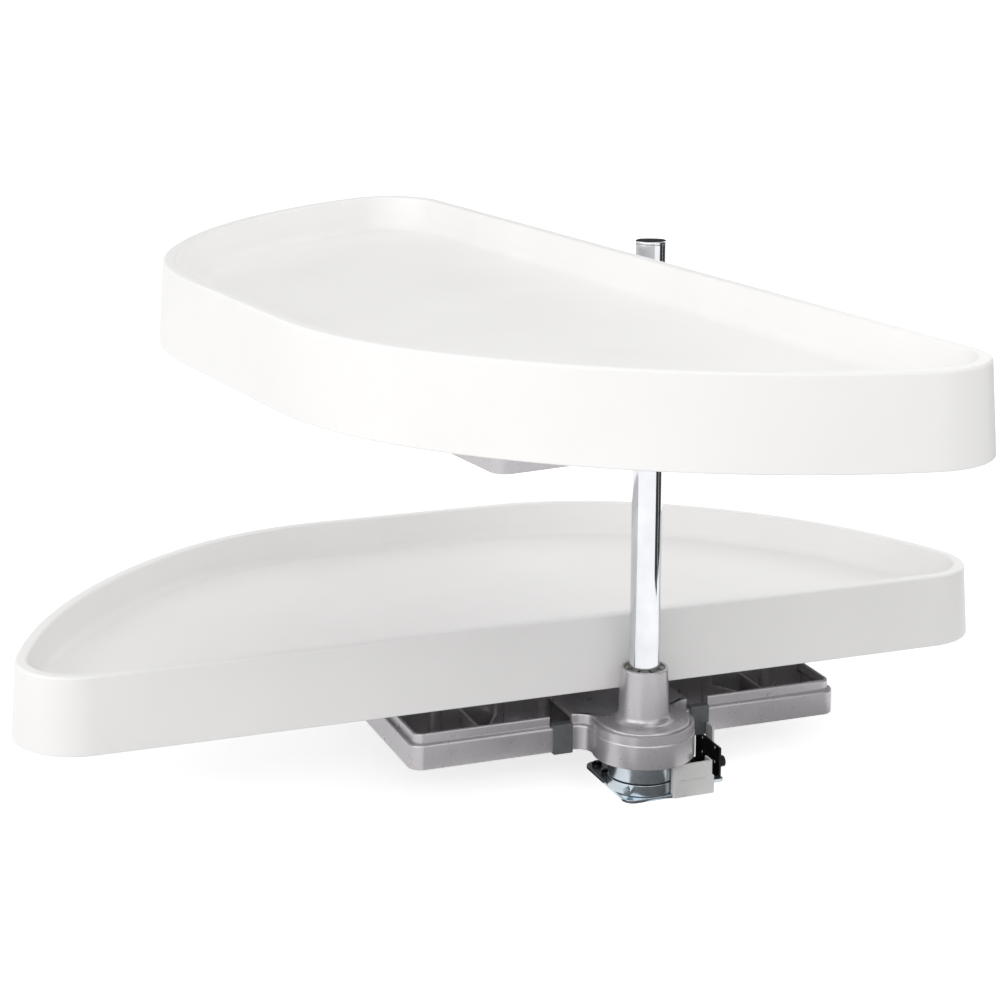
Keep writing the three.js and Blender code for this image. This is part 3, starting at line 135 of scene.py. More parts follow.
STILE_X, STILE_SHEET, STILE_FLANGE, STILE_FLANGE_LAP, STILE_CORNER = 66.49, 2, 11, 0.8, 1.6
BRACKET_SHEET_EDGE, STEEL_SHEET_EDGE = 0.3, 0.35
STILE_FRONT, STILE_BACK, STILE_BOTTOM, STILE_TOP = -10.5, 36, 3.3, 29.8
STILE_HOLE, STILE_HOLE_Y, STILE_HOLE_Z = 4.4, (0, 24.4), (13.8, 26.6)
STILE_HOLE_STEPS, STILE_SCREW_INSET, STILE_SCREW_HEIGHT = 24, 8, 1.8
BOLT_ACROSS, BOLT_HEAD, BOLT_Y, BOLT_Z = 9, 4, -6, 16
STOP_X, STOP_SHEET, STOP_CORNER = 68.79, 2, 1.2
STOP_FRONT, STOP_BACK, STOP_TOP = 8.4, 21.4, 41.9
STOP_RIVET_Z = (9.3, 21.3)

CARRIAGE_HALF, CARRIAGE_FRONT, CARRIAGE_BACK, CARRIAGE_CORNER = 197.5, 24.5, 249, 12
SKIRT_HEIGHT, SKIRT_WALL, SKIRT_ROUND = 22, 3.5, 2.4
LIP_SETBACK, LIP_WALL, LIP_TOP, LEDGE = 4, 3, 30.2, 2.5
FRAME_FLOOR, FRAME_FLOOR_INSET, FRAME_FLOOR_BITE = 3, 2, 1.5
HUB_RADIUS, SWEEP_RADIUS, SWEEP_X, SWEEP_Y = 43.3, 11.7, 53.49, 12.8
HUB_PLATE, HUB_SINK = 4.2, 2
BORE_RADIUS, BOSS_RADIUS, BOSS_LIFT = 17.2, 21.5, 5.7
CONE_TOP_RADIUS, CONE_FOOT_RADIUS, CONE_TOP, CONE_FILLET, CONE_SEAT = 20, 21.5, 75.6, 6, 12
BUSH_SINK, BUSH_LENGTH, BUSH_NOTCH, BUSH_GAP, BUSH_TEETH = 0.9, 17, 2, 2.2, 8
FOOT_BUSH_LENGTH = 18
WEB_HALF = 53.4
BUMPER_X, BUMPER_WIDTH, BUMPER_GAP, BUMPER_SHEET = 63.49, 17, 1.6, 2.2
BUMPER_DROP, BUMPER_LEG = 1.5, 13
TRACK_Y = (85, 205)
TRACK_WALL, TRACK_WALL_TOP = 4, 44
TRACK_HALF, WALL_HALF = 190, 193.5
BOSS_X = (56, 100, 157)
SCREW_BOSS, SCREW_BOSS_DRAFT = 6.75, 0.4
RIB, RIB_X, RIB_TOP, REAR_RIB_TOP = 2.6, 133, 25, 19

TRAY_HALF, TRAY_DEPTH, TRAY_HEIGHT = 433.5, 371, 63.5
TRAY_FLAT, TRAY_SHOULDER, TRAY_END, TRAY_CORNER = 86.3, 277.2, 469.5, 56.5
TRAY_STANDOFF, TRAY_LIFT = 21.9, 50.6
TRAY_FLARE, TRAY_RIM, TRAY_SLOPE = 4.4, 10, 4.1
TRAY_FLOOR_TOP, TRAY_FLOOR_BOTTOM, TRAY_PAD_BOTTOM = 33.5, 30, 24
TRAY_SKIN, TRAY_FILLET = 3, 12
TRAY_FLOOR_EASE, TRAY_FLOOR_REACH = 15, 30
INSIDE_FACETS = 0.5  # the smooth outline stays inside the CAD's facets
RUNNER_HALF, PAD_HALF = 306.9, 17
STAKE_X, STAKE_Y, STAKE_RADIUS, STAKE_HEAD, STAKE_HEAD_HEIGHT = (-230, 0, 230), 9.5, 2.2, 4, 2.2
FLANGE_BOTTOM = 71.8


# ---------------------------------------- outlines

def arc(x, y, radius, start, end, steps):
    """Points of an arc, from one angle to another, in degrees."""
    angles = [math.radians(start + (end - start) * i / steps) for i in range(steps + 1)]
    return [(x + radius * math.cos(a), y + radius * math.sin(a)) for a in angles]


def rounded(corners, steps=CORNER_STEPS, closed=True):
    """The outline through corners given as (x, y, radius), with an arc at each corner that has a radius."""
    points = []
    count = len(corners)
    for i, (x, y, radius) in enumerate(corners):
        if not radius or (not closed and i in (0, count - 1)):
            points.append((x, y))
            continue
        here = Vector((x, y))
        back = Vector(corners[i - 1][:2]) - here
        on = Vector(corners[(i + 1) % count][:2]) - here
        half = back.angle(on) / 2
        reach = min(radius / math.tan(half), 0.49 * back.length, 0.49 * on.length)
        centre = here + (back.normalized() + on.normalized()).normalized() * (reach / math.cos(half))
        start = here + back.normalized() * reach - centre
        end = here + on.normalized() * reach - centre
        first = math.atan2(start.y, start.x)
        turn = (math.atan2(end.y, end.x) - first + math.pi) % math.tau - math.pi
        for k in range(steps + 1):
            angle = first + turn * k / steps
            across, up = start.length * math.cos(angle), start.length * math.sin(angle)
            points.append((centre.x + across, centre.y + up))
    return points


def box_outline(x0, x1, y0, y1, radius=0.0):
    return rounded([(x0, y0, radius), (x1, y0, radius), (x1, y1, radius), (x0, y1, radius)], BOX_STEPS)


def circle(x, y, radius, steps):
    return arc(x, y, radius, 0, 360, steps)[:-1]


# ---------------------------------------- meshes

class Form:
    """A mesh of closed shells, drawn in millimetres."""

    def __init__(self):
        self.bm = bmesh.new()

    def loft(self, rings, closed=False):
        """A skin through loops of equal length, capped at both ends, or closed into a ring."""
        loops = [[self.bm.verts.new(Vector(p) * MM) for p in ring] for ring in rings]
        pairs = list(zip(loops, loops[1:]))
        if closed:
            pairs.append((loops[-1], loops[0]))
        else:
            self.bm.faces.new(loops[0])
            self.bm.faces.new(loops[-1])
        for ring, after in pairs:
            for i in range(len(ring)):
                j = (i + 1) % len(ring)
                self.bm.faces.new((ring[i], ring[j], after[j], after[i]))
        return self

    def prism(self, outline, z0, z1):
        return self.loft([[(x, y, z) for x, y in outline] for z in (z0, z1)])

    def bar(self, section, x0, x1):
        """A bar along X with a section in Y and Z."""
        return self.loft([[(x, y, z) for y, z in section] for x in (x0, x1)])

    def block(self, x0, x1, y0, y1, z0, z1):
        return self.prism(box_outline(x0, x1, y0, y1), z0, z1)

    def turned(self, profile, steps=ROUND_STEPS, x=0.0, y=0.0):
        """A closed section of (radius, height) turned about an upright axis."""
        turns = [math.tau * i / steps for i in range(steps)]
        return self.loft(
            [[(x + r * math.cos(a), y + r * math.sin(a), z) for r, z in profile] for a in turns], closed=True
        )

    def swept(self, outline, section):
        """A closed section of (inset, height) carried along an open run of an outline."""
        runs = [outline(inset) for inset, _ in section]
        heights = [z for _, z in section]
        return self.loft([
            [(*run[i], z) for run, z in zip(runs, heights)] for i in range(len(runs[0]))
        ])

    def swept_round(self, outline, section):
        """The same along a closed outline."""
        return self.loft([[(x, y, z) for x, y in outline(inset)] for inset, z in section], closed=True)

    def moved(self, matrix):
        metres = matrix.copy()
        metres.translation *= MM
        bmesh.ops.transform(self.bm, matrix=metres, verts=self.bm.verts)
        return self

    def mesh(self, name):
        bmesh.ops.remove_doubles(self.bm, verts=self.bm.verts, dist=WELD)
        bmesh.ops.recalc_face_normals(self.bm, faces=self.bm.faces)
        data = bpy.data.meshes.new(name)
        self.bm.to_mesh(data)
        self.bm.free()
        return data


def baked(data, modify):
    """The mesh after modifiers that a function adds to a passing object."""
    passing = bpy.data.objects.new("passing", data)
    bpy.context.scene.collection.objects.link(passing)
    modify(passing)
    result = bpy.data.meshes.new_from_object(passing.evaluated_get(bpy.context.evaluated_depsgraph_get()))
    bpy.data.objects.remove(passing)
    return result


def carved(data, tool):
    """The mesh less a cutting mesh."""
    cutter = bpy.data.objects.new("cutter", tool)
    bpy.context.scene.collection.objects.link(cutter)

    def modify(passing):
        modifier = passing.modifiers.new("cut", "BOOLEAN")
        modifier.operation, modifier.solver, modifier.object = "DIFFERENCE", "EXACT", cutter

    result = baked(data, modify)
    bpy.data.objects.remove(cutter)
    return result


def sheet_mesh(name, outline, holes, thickness, edge):
    """A flat plate on z = 0 with rounded edges and real holes."""
    curve = bpy.data.curves.new(name, "CURVE")
    curve.dimensions, curve.fill_mode = "2D", "BOTH"
    curve.extrude = (thickness / 2 - edge) * MM
    curve.bevel_depth, curve.bevel_resolution, curve.offset = edge * MM, 2, -edge * MM
    for points in [outline, *holes]:
        spline = curve.splines.new("POLY")
        spline.points.add(len(points) - 1)
        for point, (x, y) in zip(spline.points, points):
            point.co = (x * MM, y * MM, 0, 1)
        spline.use_cyclic_u = True
    plate = bpy.data.objects.new(name, curve)
    bpy.context.scene.collection.objects.link(plate)
    data = bpy.data.meshes.new_from_object(plate.evaluated_get(bpy.context.evaluated_depsgraph_get()))
    bpy.data.objects.remove(plate)
    welded = bmesh.new()
    welded.from_mesh(data)
    bmesh.ops.remove_doubles(welded, verts=welded.verts, dist=WELD)
    bmesh.ops.recalc_face_normals(welded, faces=welded.faces)
    welded.to_mesh(data)
    welded.free()
    data.transform(Matrix.Translation((0, 0, thickness / 2 * MM)))
    return data


def bevelled(thing, width, segments, angle):
    modifier = thing.modifiers.new("edges", "BEVEL")
    modifier.width, modifier.segments = width * MM, segments
    modifier.limit_method, modifier.angle_limit = "ANGLE", math.radians(angle)


def dressed(thing, bevel):
    """Rounds the sharp edges, and keeps flat faces flat under smooth shading."""
    if bevel:
        bevelled(thing, bevel, EDGE_SEGMENTS, EDGE_ANGLE)
    normals = thing.modifiers.new("normals", "WEIGHTED_NORMAL")
    normals.keep_sharp = True


def at(x=0.0, y=0.0, z=0.0, turn=0.0):
    return Matrix.Translation((x, y, z)) @ Matrix.Rotation(math.radians(turn), 4, "Z")


FACING_X = Matrix.Rotation(math.radians(90), 4, "Y")
SHEET_ACROSS_X = Matrix(((0, 0, 1, 0), (1, 0, 0, 0), (0, 1, 0, 0), (0, 0, 0, 1)))  # (x, y) to (y, z)


# ---------------------------------------- materials

class Finish:
    """A principled material whose colour, gloss and relief come from noise in the piece's own space."""

    def __init__(self, name, metallic=0.0):
        self.material = bpy.data.materials.new(name)
        self.material.use_nodes = True
        self.nodes, self.links = self.material.node_tree.nodes, self.material.node_tree.links
        self.shader = self.nodes["Principled BSDF"]
        self.shader.inputs["Metallic"].default_value = metallic
        self.space = self.nodes.new("ShaderNodeTexCoord").outputs["Object"]

    def mapped(self, sizes):
        """The piece's own space divided by sizes in millimetres."""
        mapping = self.nodes.new("ShaderNodeMapping")
        mapping.vector_type = "TEXTURE"
        mapping.inputs["Scale"].default_value = [size * MM for size in sizes]
        self.links.new(self.space, mapping.inputs["Vector"])
        return mapping.outputs["Vector"]

    def noise(self, size, detail, stretch=(1, 1, 1), roughness=0.5):
        """Noise whose features are about size millimetres across, and longer by stretch along each axis."""
        noise = self.nodes.new("ShaderNodeTexNoise")
        noise.inputs["Scale"].default_value = 1.0
        noise.inputs["Detail"].default_value = detail
        noise.inputs["Roughness"].default_value = roughness
        self.links.new(self.mapped([size * along for along in stretch]), noise.inputs["Vector"])
        return noise.outputs[0]

    def ranged(self, value, low, high):
        """The noise's middle range spread from low to high."""
        spread = self.nodes.new("ShaderNodeMapRange")
        bounds = {"From Min": NOISE_LOW, "From Max": NOISE_HIGH, "To Min": low, "To Max": high}
        for socket, bound in bounds.items():
            spread.inputs[socket].default_value = bound
        self.links.new(value, spread.inputs["Value"])
        return spread.outputs["Result"]

    def colour(self, value, first, second):
        ramp = self.nodes.new("ShaderNodeValToRGB")
        for stop, shade, place in zip(ramp.color_ramp.elements, (first, second), (NOISE_LOW, NOISE_HIGH)):
            stop.color, stop.position = (*shade, 1), place
        self.links.new(value, ramp.inputs["Fac"])
        self.links.new(ramp.outputs["Color"], self.shader.inputs["Base Color"])
        return self

    def gloss(self, value, low, high):
        self.links.new(self.ranged(value, low, high), self.shader.inputs["Roughness"])
        return self

    def relief(self, value, depth):
        """Bump of a depth in millimetres; a second call adds to the first."""
        bump = self.nodes.new("ShaderNodeBump")
        bump.inputs["Strength"].default_value = 1.0
        bump.inputs["Distance"].default_value = depth * MM
        self.links.new(value, bump.inputs["Height"])
        if self.shader.inputs["Normal"].links:
            self.links.new(self.shader.inputs["Normal"].links[0].from_socket, bump.inputs["Normal"])
        self.links.new(bump.outputs["Normal"], self.shader.inputs["Normal"])
        return self


def linear(*display):
    """A colour given in display values, 0 to 255."""
    return tuple(c / 255 / 12.92 if c <= 10 else ((c / 255 + 0.055) / 1.055) ** 2.4 for c in display)


def white_polymer():
    finish = Finish("white_polymer")
    finish.colour(finish.noise(90, 4), linear(246, 245, 244), linear(249, 248, 247))
    finish.gloss(finish.noise(6, 5), 0.42, 0.52)
    finish.relief(finish.noise(1.5, 2), 0.01).relief(finish.noise(45, 2, (1, 1, 5)), 0.12)
    return finish.material


def cast_paint():
    finish = Finish("cast_paint", 0.6)
    finish.colour(finish.noise(3, 3), linear(188, 185, 188), linear(193, 190, 193))
    finish.gloss(finish.noise(16, 2), 0.27, 0.31)
    finish.relief(finish.noise(4, 1), 0.005).relief(finish.noise(16, 1), 0.02)
    return finish.material


def chrome():
    finish = Finish("chrome", 1.0)
    finish.colour(finish.noise(30, 2), linear(210, 212, 215), linear(222, 224, 227))
    finish.gloss(finish.noise(12, 3, (1, 1, 5)), 0.035, 0.07)
    finish.relief(finish.noise(40, 1, (1, 1, 10)), 0.01)
    return finish.material


def zinc():
    finish = Finish("zinc", 0.95)
    finish.colour(finish.noise(12, 4, roughness=0.55), linear(194, 204, 212), linear(205, 214, 221))
    finish.gloss(finish.noise(8, 3), 0.2, 0.27)
    finish.relief(finish.noise(5, 2), 0.003)
    return finish.material


def bracket_paint():
    finish = Finish("bracket_paint", 0.1)
    finish.colour(finish.noise(2, 5, roughness=0.65), linear(210, 210, 209), linear(217, 217, 216))
    finish.gloss(finish.noise(4, 4), 0.38, 0.5)
    finish.relief(finish.noise(1.1, 3), 0.02)
    return finish.material


def black_steel():
    finish = Finish("black_steel", 0.6)
    finish.colour(finish.noise(3, 5, roughness=0.6), linear(13, 14, 16), linear(21, 22, 24))
    finish.gloss(finish.noise(2, 4), 0.25, 0.42)
    finish.relief(finish.noise(1.4, 4), 0.02)
    return finish.material


def bumper_plastic():
    finish = Finish("bumper_plastic")
    finish.colour(finish.noise(8, 4), linear(85, 87, 89), linear(97, 100, 102))
    finish.gloss(finish.noise(3, 3), 0.42, 0.55)
    finish.relief(finish.noise(0.8, 3), 0.02)
    return finish.material


def bush_plastic():
    finish = Finish("bush_plastic")
    finish.colour(finish.noise(4, 4), linear(118, 118, 110), linear(140, 140, 132))
    finish.gloss(finish.noise(2, 3), 0.4, 0.55)
    finish.relief(finish.noise(0.7, 3), 0.015)
    return finish.material


def black_rubber():
    finish = Finish("rubber")
    finish.colour(finish.noise(3, 4), linear(20, 20, 22), linear(32, 32, 34))
    finish.gloss(finish.noise(2, 3), 0.65, 0.85)
    finish.relief(finish.noise(0.6, 3), 0.02)
    return finish.material


def rolled_metal(name, dark, light):
    """Metal with faint lines along its length."""
    finish = Finish(name, 0.95)
    finish.colour(finish.noise(1.2, 4, (30, 1, 1)), dark, light)
    finish.gloss(finish.noise(2.5, 4, (20, 1, 1)), 0.22, 0.38)
    finish.relief(finish.noise(0.7, 2, (50, 1, 1)), 0.01)
    return finish.material


def glide_plastic():
    finish = Finish("glide_plastic")
    finish.colour(finish.noise(10, 4), linear(226, 224, 214), linear(236, 234, 226))
    finish.gloss(finish.noise(3, 3), 0.38, 0.5)
    finish.relief(finish.noise(0.8, 3), 0.02)
    return finish.material


FINISHES = {
    "white_polymer": white_polymer(),
    "cast_paint": cast_paint(),
    "chrome": chrome(),
    "zinc": zinc(),
    "bracket_paint": bracket_paint(),
    "black_steel": black_steel(),
    "bumper_plastic": bumper_plastic(),
    "bush_plastic": bush_plastic(),
    "rubber": black_rubber(),
    "track_steel": rolled_metal("track_steel", linear(164, 168, 171), linear(190, 193, 196)),
    "runner_alloy": rolled_metal("runner_alloy", linear(184, 187, 189), linear(205, 208, 210)),
    "glide_plastic": glide_plastic(),
}


def finished(name, data, slot, body, *nodes, bevel, place=None):
    """A finished piece in its place, riding on a body and standing for the CAD nodes it is named with."""
    own = data.copy()
    own.name = name
    own.materials.clear()
    own.materials.append(FINISHES[slot])
    own.shade_smooth()
    if place is not None:
        metres = place.copy()
        metres.translation *= MM
        own.transform(metres)
    thing = bpy.data.objects.new(name, own)
    bpy.context.scene.collection.objects.link(thing)
    dressed(thing, bevel)
    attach(thing, body)
    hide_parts(*nodes)


# ---------------------------------------- fasteners

def cross_recess(across, depth, z):
    """The cutting form of a cross recess, pointing down from a height."""
    narrow = across / 9
    rings = []
    for scale, level in ((1.0, z + 0.6), (0.35, z - depth)):
        reach = across / 2 * scale
        arm = [(reach, -narrow), (reach, narrow), (narrow, narrow)]
        rings.append([
            (x * cosine - y * sine, x * sine + y * cosine, level)
            for cosine, sine in ((1, 0), (0, 1), (-1, 0), (0, -1)) for x, y in arm
        ])
    return Form().loft(rings).mesh("recess")


def pan_head(diameter, height):
    """A pan head with a cross recess, its underside at z = 0."""
    head = diameter / 2
    data = Form().turned(rounded([
        (0, 0, 0), (head, 0, 0.15), (head, height * 0.45, 0.9), (head * 0.62, height, 1.6), (0, height, 0),
    ]), SMALL_STEPS).mesh("pan_head")
    return carved(data, cross_recess(diameter * 0.56, height * 0.5, height))


def rivet_head(diameter, height):
    head = diameter / 2
    return Form().turned(rounded([
        (0, 0, 0), (head, 0, 0.1), (head * 0.92, height * 0.6, 0.5),
        (head * 0.5, height, 0.8), (0, height, 0),
    ]), SMALL_STEPS).mesh("rivet_head")


def hex_head(across, height):
    """A hexagon head with a chamfered top, its underside at z = 0."""
    corner = across / math.sqrt(3)
    hexagon = Form().prism(circle(0, 0, corner, 6), 0, height).mesh("hexagon")
    face, shoulder, clear = across / 2 * 0.98, height * 0.78, 1
    outside = Form().turned([
        (face, height + clear), (face, height), (corner, shoulder), (corner + clear, shoulder),
        (corner + clear, height + clear),
    ], SMALL_STEPS).mesh("chamfer")
    return carved(hexagon, outside)


# ---------------------------------------- base and post

def base_plate():
    outline = rounded([
        (BASE_LEFT, BASE_FRONT, BASE_CORNER), (BASE_RIGHT, BASE_FRONT, BASE_CORNER),
        (BASE_RIGHT, EAR_FRONT, EAR_HOLLOW), (EAR_RIGHT, EAR_FRONT, EAR_CORNER),
        (EAR_RIGHT, EAR_BACK, EAR_CORNER), (BASE_RIGHT, EAR_BACK, EAR_HOLLOW),
        (BASE_RIGHT, BASE_BACK, BASE_CORNER), (BASE_LEFT, BASE_BACK, BASE_CORNER),
    ], FINE_STEPS)
    plate = sheet_mesh("base_plate_sheet", outline, [], BASE_THICKNESS, BASE_EDGE)
    finished("base_plate_form", plate, "zinc", "base", "base_plate", bevel=0)
    head = pan_head(BASE_SCREW_HEAD, BASE_SCREW_HEIGHT)
    sides, back = (BASE_LEFT + BASE_SCREW_INSET, BASE_RIGHT - BASE_SCREW_INSET), BASE_BACK - BASE_SCREW_INSET
    places = [(x, y) for x in sides for y in (back, back - BASE_SCREW_PITCH)]
    for i, (x, y) in enumerate(places, 1):
        finished(
            f"base_screw_head_{i}", head, "black_steel", "base", f"base_screw_{i}",
            bevel=0.1, place=at(x, y, BASE_THICKNESS + SEAT, 20 * i),
        )


def set_screw(name, radius, level, slot, node):
    place = at(turn=SET_SCREW_ANGLE) @ at(radius + SEAT, 0, level)
    head = hex_head(SET_SCREW_ACROSS, SET_SCREW_HEAD)
    finished(name, head, slot, "base", node, bevel=0.15, place=place @ FACING_X)


def socket_stack():
    socket = Form().turned(rounded([
        (POST_BORE, SOCKET_BOTTOM, 0.3), (SOCKET_RADIUS, SOCKET_BOTTOM, 0.5),
        (SOCKET_RADIUS, SOCKET_TOP, 0.5), (POST_BORE, SOCKET_TOP, 0.3),
    ])).mesh("socket")
    finished("post_socket_form", socket, "zinc", "base", "post_socket", bevel=0)
    bottom, top, edge = GASKET_BOTTOM - GASKET_SWELL, GASKET_TOP + GASKET_SWELL, SOCKET_RADIUS - GASKET_INSET
    gasket = Form().turned(rounded([
        (POST_BORE, bottom, 0.1), (edge, bottom, 0.3), (edge, top, 0.3), (POST_BORE, top, 0.1),
    ])).mesh("gasket")
    finished("socket_gasket_form", gasket, "rubber", "base", "socket_gasket", bevel=0)
    inner = SOCKET_RADIUS - CUP_WALL
    cup = Form().turned(rounded([
        (inner, CUP_BOTTOM, 0.4), (SOCKET_RADIUS, CUP_BOTTOM, 0.6), (SOCKET_RADIUS, CUP_TOP, 1.6),
        (POST_BORE, CUP_TOP, 0.3), (POST_BORE, CUP_TOP - CUP_LID, 0.3), (inner, CUP_TOP - CUP_LID, 2),
    ])).mesh("cup")
    finished("bearing_cup_form", cup, "zinc", "base", "bearing_cup", bevel=0)
    level = (SOCKET_BOTTOM + SOCKET_TOP) / 2
    set_screw("socket_set_screw_head", SOCKET_RADIUS, level, "zinc", "socket_set_screw")


def washer(name, z):
    ring = Form().turned(rounded([
        (WASHER_INNER, z, 0.3), (WASHER_OUTER, z, 0.4),
        (WASHER_OUTER, z + WASHER_THICKNESS, 0.4), (WASHER_INNER, z + WASHER_THICKNESS, 0.3),
    ])).mesh("washer")
    finished(f"{name}_form", ring, "bush_plastic", "base", name, bevel=0)


def post():
    tube = Form().turned(rounded([
        (POST_RADIUS - POST_WALL, POST_BOTTOM, 0.2), (POST_RADIUS, POST_BOTTOM, 0.3),
        (POST_RADIUS, POST_TOP, 0.35), (POST_RADIUS - POST_WALL, POST_TOP, 0.2),
    ])).mesh("post")
    finished("center_post_form", tube, "chrome", "base", "center_post", bevel=0)
    plug = POST_RADIUS - POST_WALL - SEAT
    seat = POST_TOP + SEAT
    cap = Form().turned(rounded([
        (0, seat - CAP_PLUG, 0), (plug, seat - CAP_PLUG, 0.8), (plug, seat, 0.2), (POST_RADIUS, seat, 0.25),
        (POST_RADIUS, CAP_TOP - CAP_DOME, 0.9), (0, CAP_TOP, 0),
    ])).mesh("cap")
    finished("post_cap_form", cap, "chrome", "base", "post_cap", bevel=0)
    collar = Form().turned(rounded([
        (POST_BORE, COLLAR_BOTTOM, 0.5), (COLLAR_RADIUS, COLLAR_BOTTOM, 1),
        (COLLAR_RADIUS, COLLAR_TOP, 1), (POST_BORE, COLLAR_TOP, 0.5),
    ])).mesh("collar")
    finished("upper_collar_form", collar, "zinc", "base", "upper_collar", bevel=0)
    middle = (COLLAR_BOTTOM + COLLAR_TOP) / 2
    set_screw("collar_set_screw_head", COLLAR_RADIUS, middle, "black_steel", "collar_set_screw")


# ---------------------------------------- bracket, stile plate and stop

def front_bracket():
    """The folded front bracket: face and two returns bent from one sheet, with a flange at its foot."""
    outer, inner = BRACKET_FACE, BRACKET_FACE + BRACKET_SHEET
    left, right = BRACKET_LEFT, BRACKET_RIGHT
    left_return = -math.sqrt((SOCKET_RADIUS + BRACKET_RETURN_GAP) ** 2 - (left + BRACKET_SHEET) ** 2)
    right_return = outer + BRACKET_RIGHT_RETURN
    bend, inside = BRACKET_BEND, BRACKET_BEND - BRACKET_SHEET
    wrap = rounded([
        (left, left_return, 0.3), (left, outer, bend), (right, outer, 1.2), (right, right_return, 0.3),
        (right - BRACKET_SHEET, right_return, 0.3), (right - BRACKET_SHEET, inner, 0.3),
        (left + BRACKET_SHEET, inner, inside), (left + BRACKET_SHEET, left_return, 0.3),
    ], FINE_STEPS)
    data = Form().prism(wrap, BRACKET_BOTTOM, BRACKET_TOP).mesh("bracket_wrap")
    middle, bottom = (left + right) / 2, BASE_THICKNESS + SEAT
    slit = (middle - SLIT_LENGTH / 2, middle + SLIT_LENGTH / 2)
    tool = Form().block(*slit, outer - 1, outer + SLIT_DEPTH, SLIT_Z, SLIT_Z + SLIT_HEIGHT)
    tool.block(left - 1, right + 1, inner + NUDGE, 0, BRACKET_BOTTOM - 1, bottom)
    data = carved(data, tool.mesh("bracket_cut"))
    finished("front_bracket_form", data, "bracket_paint", "base", "front_bracket", bevel=0.3)
    step = Form().prism(
        rounded([
            (right - 1, BRACKET_BOTTOM, 0), (right + BRACKET_STEP, BRACKET_BOTTOM, 0.5),
            (right + BRACKET_STEP, BRACKET_STEP_Z, 0.8), (right - 1, BRACKET_STEP_Z + BRACKET_STEP_SLOPE, 0),
        ]), 0, BRACKET_SHEET,
    ).mesh("bracket_step")
    upright = at(y=inner) @ Matrix.Rotation(math.radians(90), 4, "X")
    finished("front_bracket_step", step, "bracket_paint", "base", "front_bracket", bevel=0.25, place=upright)
    outline = box_outline(
        BRACKET_FLANGE_LEFT, right - BRACKET_FLANGE_SIDE,
        inner - BRACKET_FLANGE_LAP, inner + BRACKET_FLANGE_DEPTH, BRACKET_FLANGE_CORNER,
    )
    flange = sheet_mesh("flange", outline, [], BRACKET_SHEET, BRACKET_SHEET_EDGE)
    place = at(z=bottom)
    finished("front_bracket_flange", flange, "bracket_paint", "base", "front_bracket", bevel=0, place=place)
    head = rivet_head(RIVET_HEAD, RIVET_HEIGHT)
    y = BASE_FRONT + BRACKET_FLANGE_DEPTH / 2
    places = (BRACKET_FLANGE_LEFT + RIVET_HEAD / 2 + SEAT, right - BRACKET_SHEET - RIVET_HEAD / 2 - SEAT)
    for i, x in enumerate(places, 1):
        finished(
            f"front_bracket_rivet_head_{i}", head, "zinc", "base", f"front_bracket_rivet_{i}",
            bevel=0, place=at(x, y, bottom + BRACKET_SHEET + SEAT),
        )


def stile_plate():
    """The drilled plate beside the hub, with its flange, screws and bolt."""
    upright = at(STILE_X) @ SHEET_ACROSS_X
    holes = [circle(y, z, STILE_HOLE / 2, STILE_HOLE_STEPS) for y in STILE_HOLE_Y for z in STILE_HOLE_Z]
    outline = box_outline(STILE_FRONT, STILE_BACK, STILE_BOTTOM, STILE_TOP, STILE_CORNER)
    plate = sheet_mesh("stile_sheet", outline, holes, STILE_SHEET, STEEL_SHEET_EDGE)
    finished("stile_plate_form", plate, "black_steel", "base", "stile_plate", bevel=0, place=upright)
    outline = box_outline(
        STILE_X - STILE_FLANGE, STILE_X + STILE_FLANGE_LAP, STILE_FRONT, STILE_BACK, STILE_CORNER,
    )
    flange = sheet_mesh("stile_flange", outline, [], STILE_SHEET, STEEL_SHEET_EDGE)
    place = at(z=STILE_BOTTOM)
    finished("stile_plate_flange", flange, "black_steel", "base", "stile_plate", bevel=0, place=place)
    head = pan_head(RIVET_HEAD, STILE_SCREW_HEIGHT)
    for i, y in enumerate((STILE_FRONT + STILE_SCREW_INSET, STILE_BACK - STILE_SCREW_INSET), 1):
        finished(
            f"stile_plate_screw_head_{i}", head, "black_steel", "base", f"stile_plate_screw_{i}",
            bevel=0.08, place=at(STILE_X - STILE_FLANGE / 2, y, STILE_BOTTOM + STILE_SHEET + SEAT, 30 * i),
        )
    bolt = at(STILE_X + STILE_SHEET + SEAT, BOLT_Y, BOLT_Z) @ FACING_X
    finished(
        "stile_plate_bolt_head", hex_head(BOLT_ACROSS, BOLT_HEAD), "black_steel", "base", "stile_plate_bolt",
        bevel=0.2, place=bolt,
    )


def stop_plate():
    """The plate that the bumper meets, and its rivets."""
    outline = box_outline(STOP_FRONT, STOP_BACK, STILE_BOTTOM, STOP_TOP, STOP_CORNER)
    stop = sheet_mesh("stop_sheet", outline, [], STOP_SHEET, STEEL_SHEET_EDGE)
    upright = at(STOP_X) @ SHEET_ACROSS_X
    finished("stop_plate_form", stop, "bracket_paint", "base", "stop_plate", bevel=0, place=upright)
    rivet = rivet_head(RIVET_HEAD, RIVET_HEIGHT)
    for i, z in enumerate(STOP_RIVET_Z, 1):
        place = at(STOP_X + STOP_SHEET + SEAT, (STOP_FRONT + STOP_BACK) / 2, z) @ FACING_X
        finished(
            f"stop_plate_rivet_head_{i}", rivet, "zinc", "base", f"stop_plate_rivet_{i}",
            bevel=0, place=place,
        )


# ---------------------------------------- carriage casting

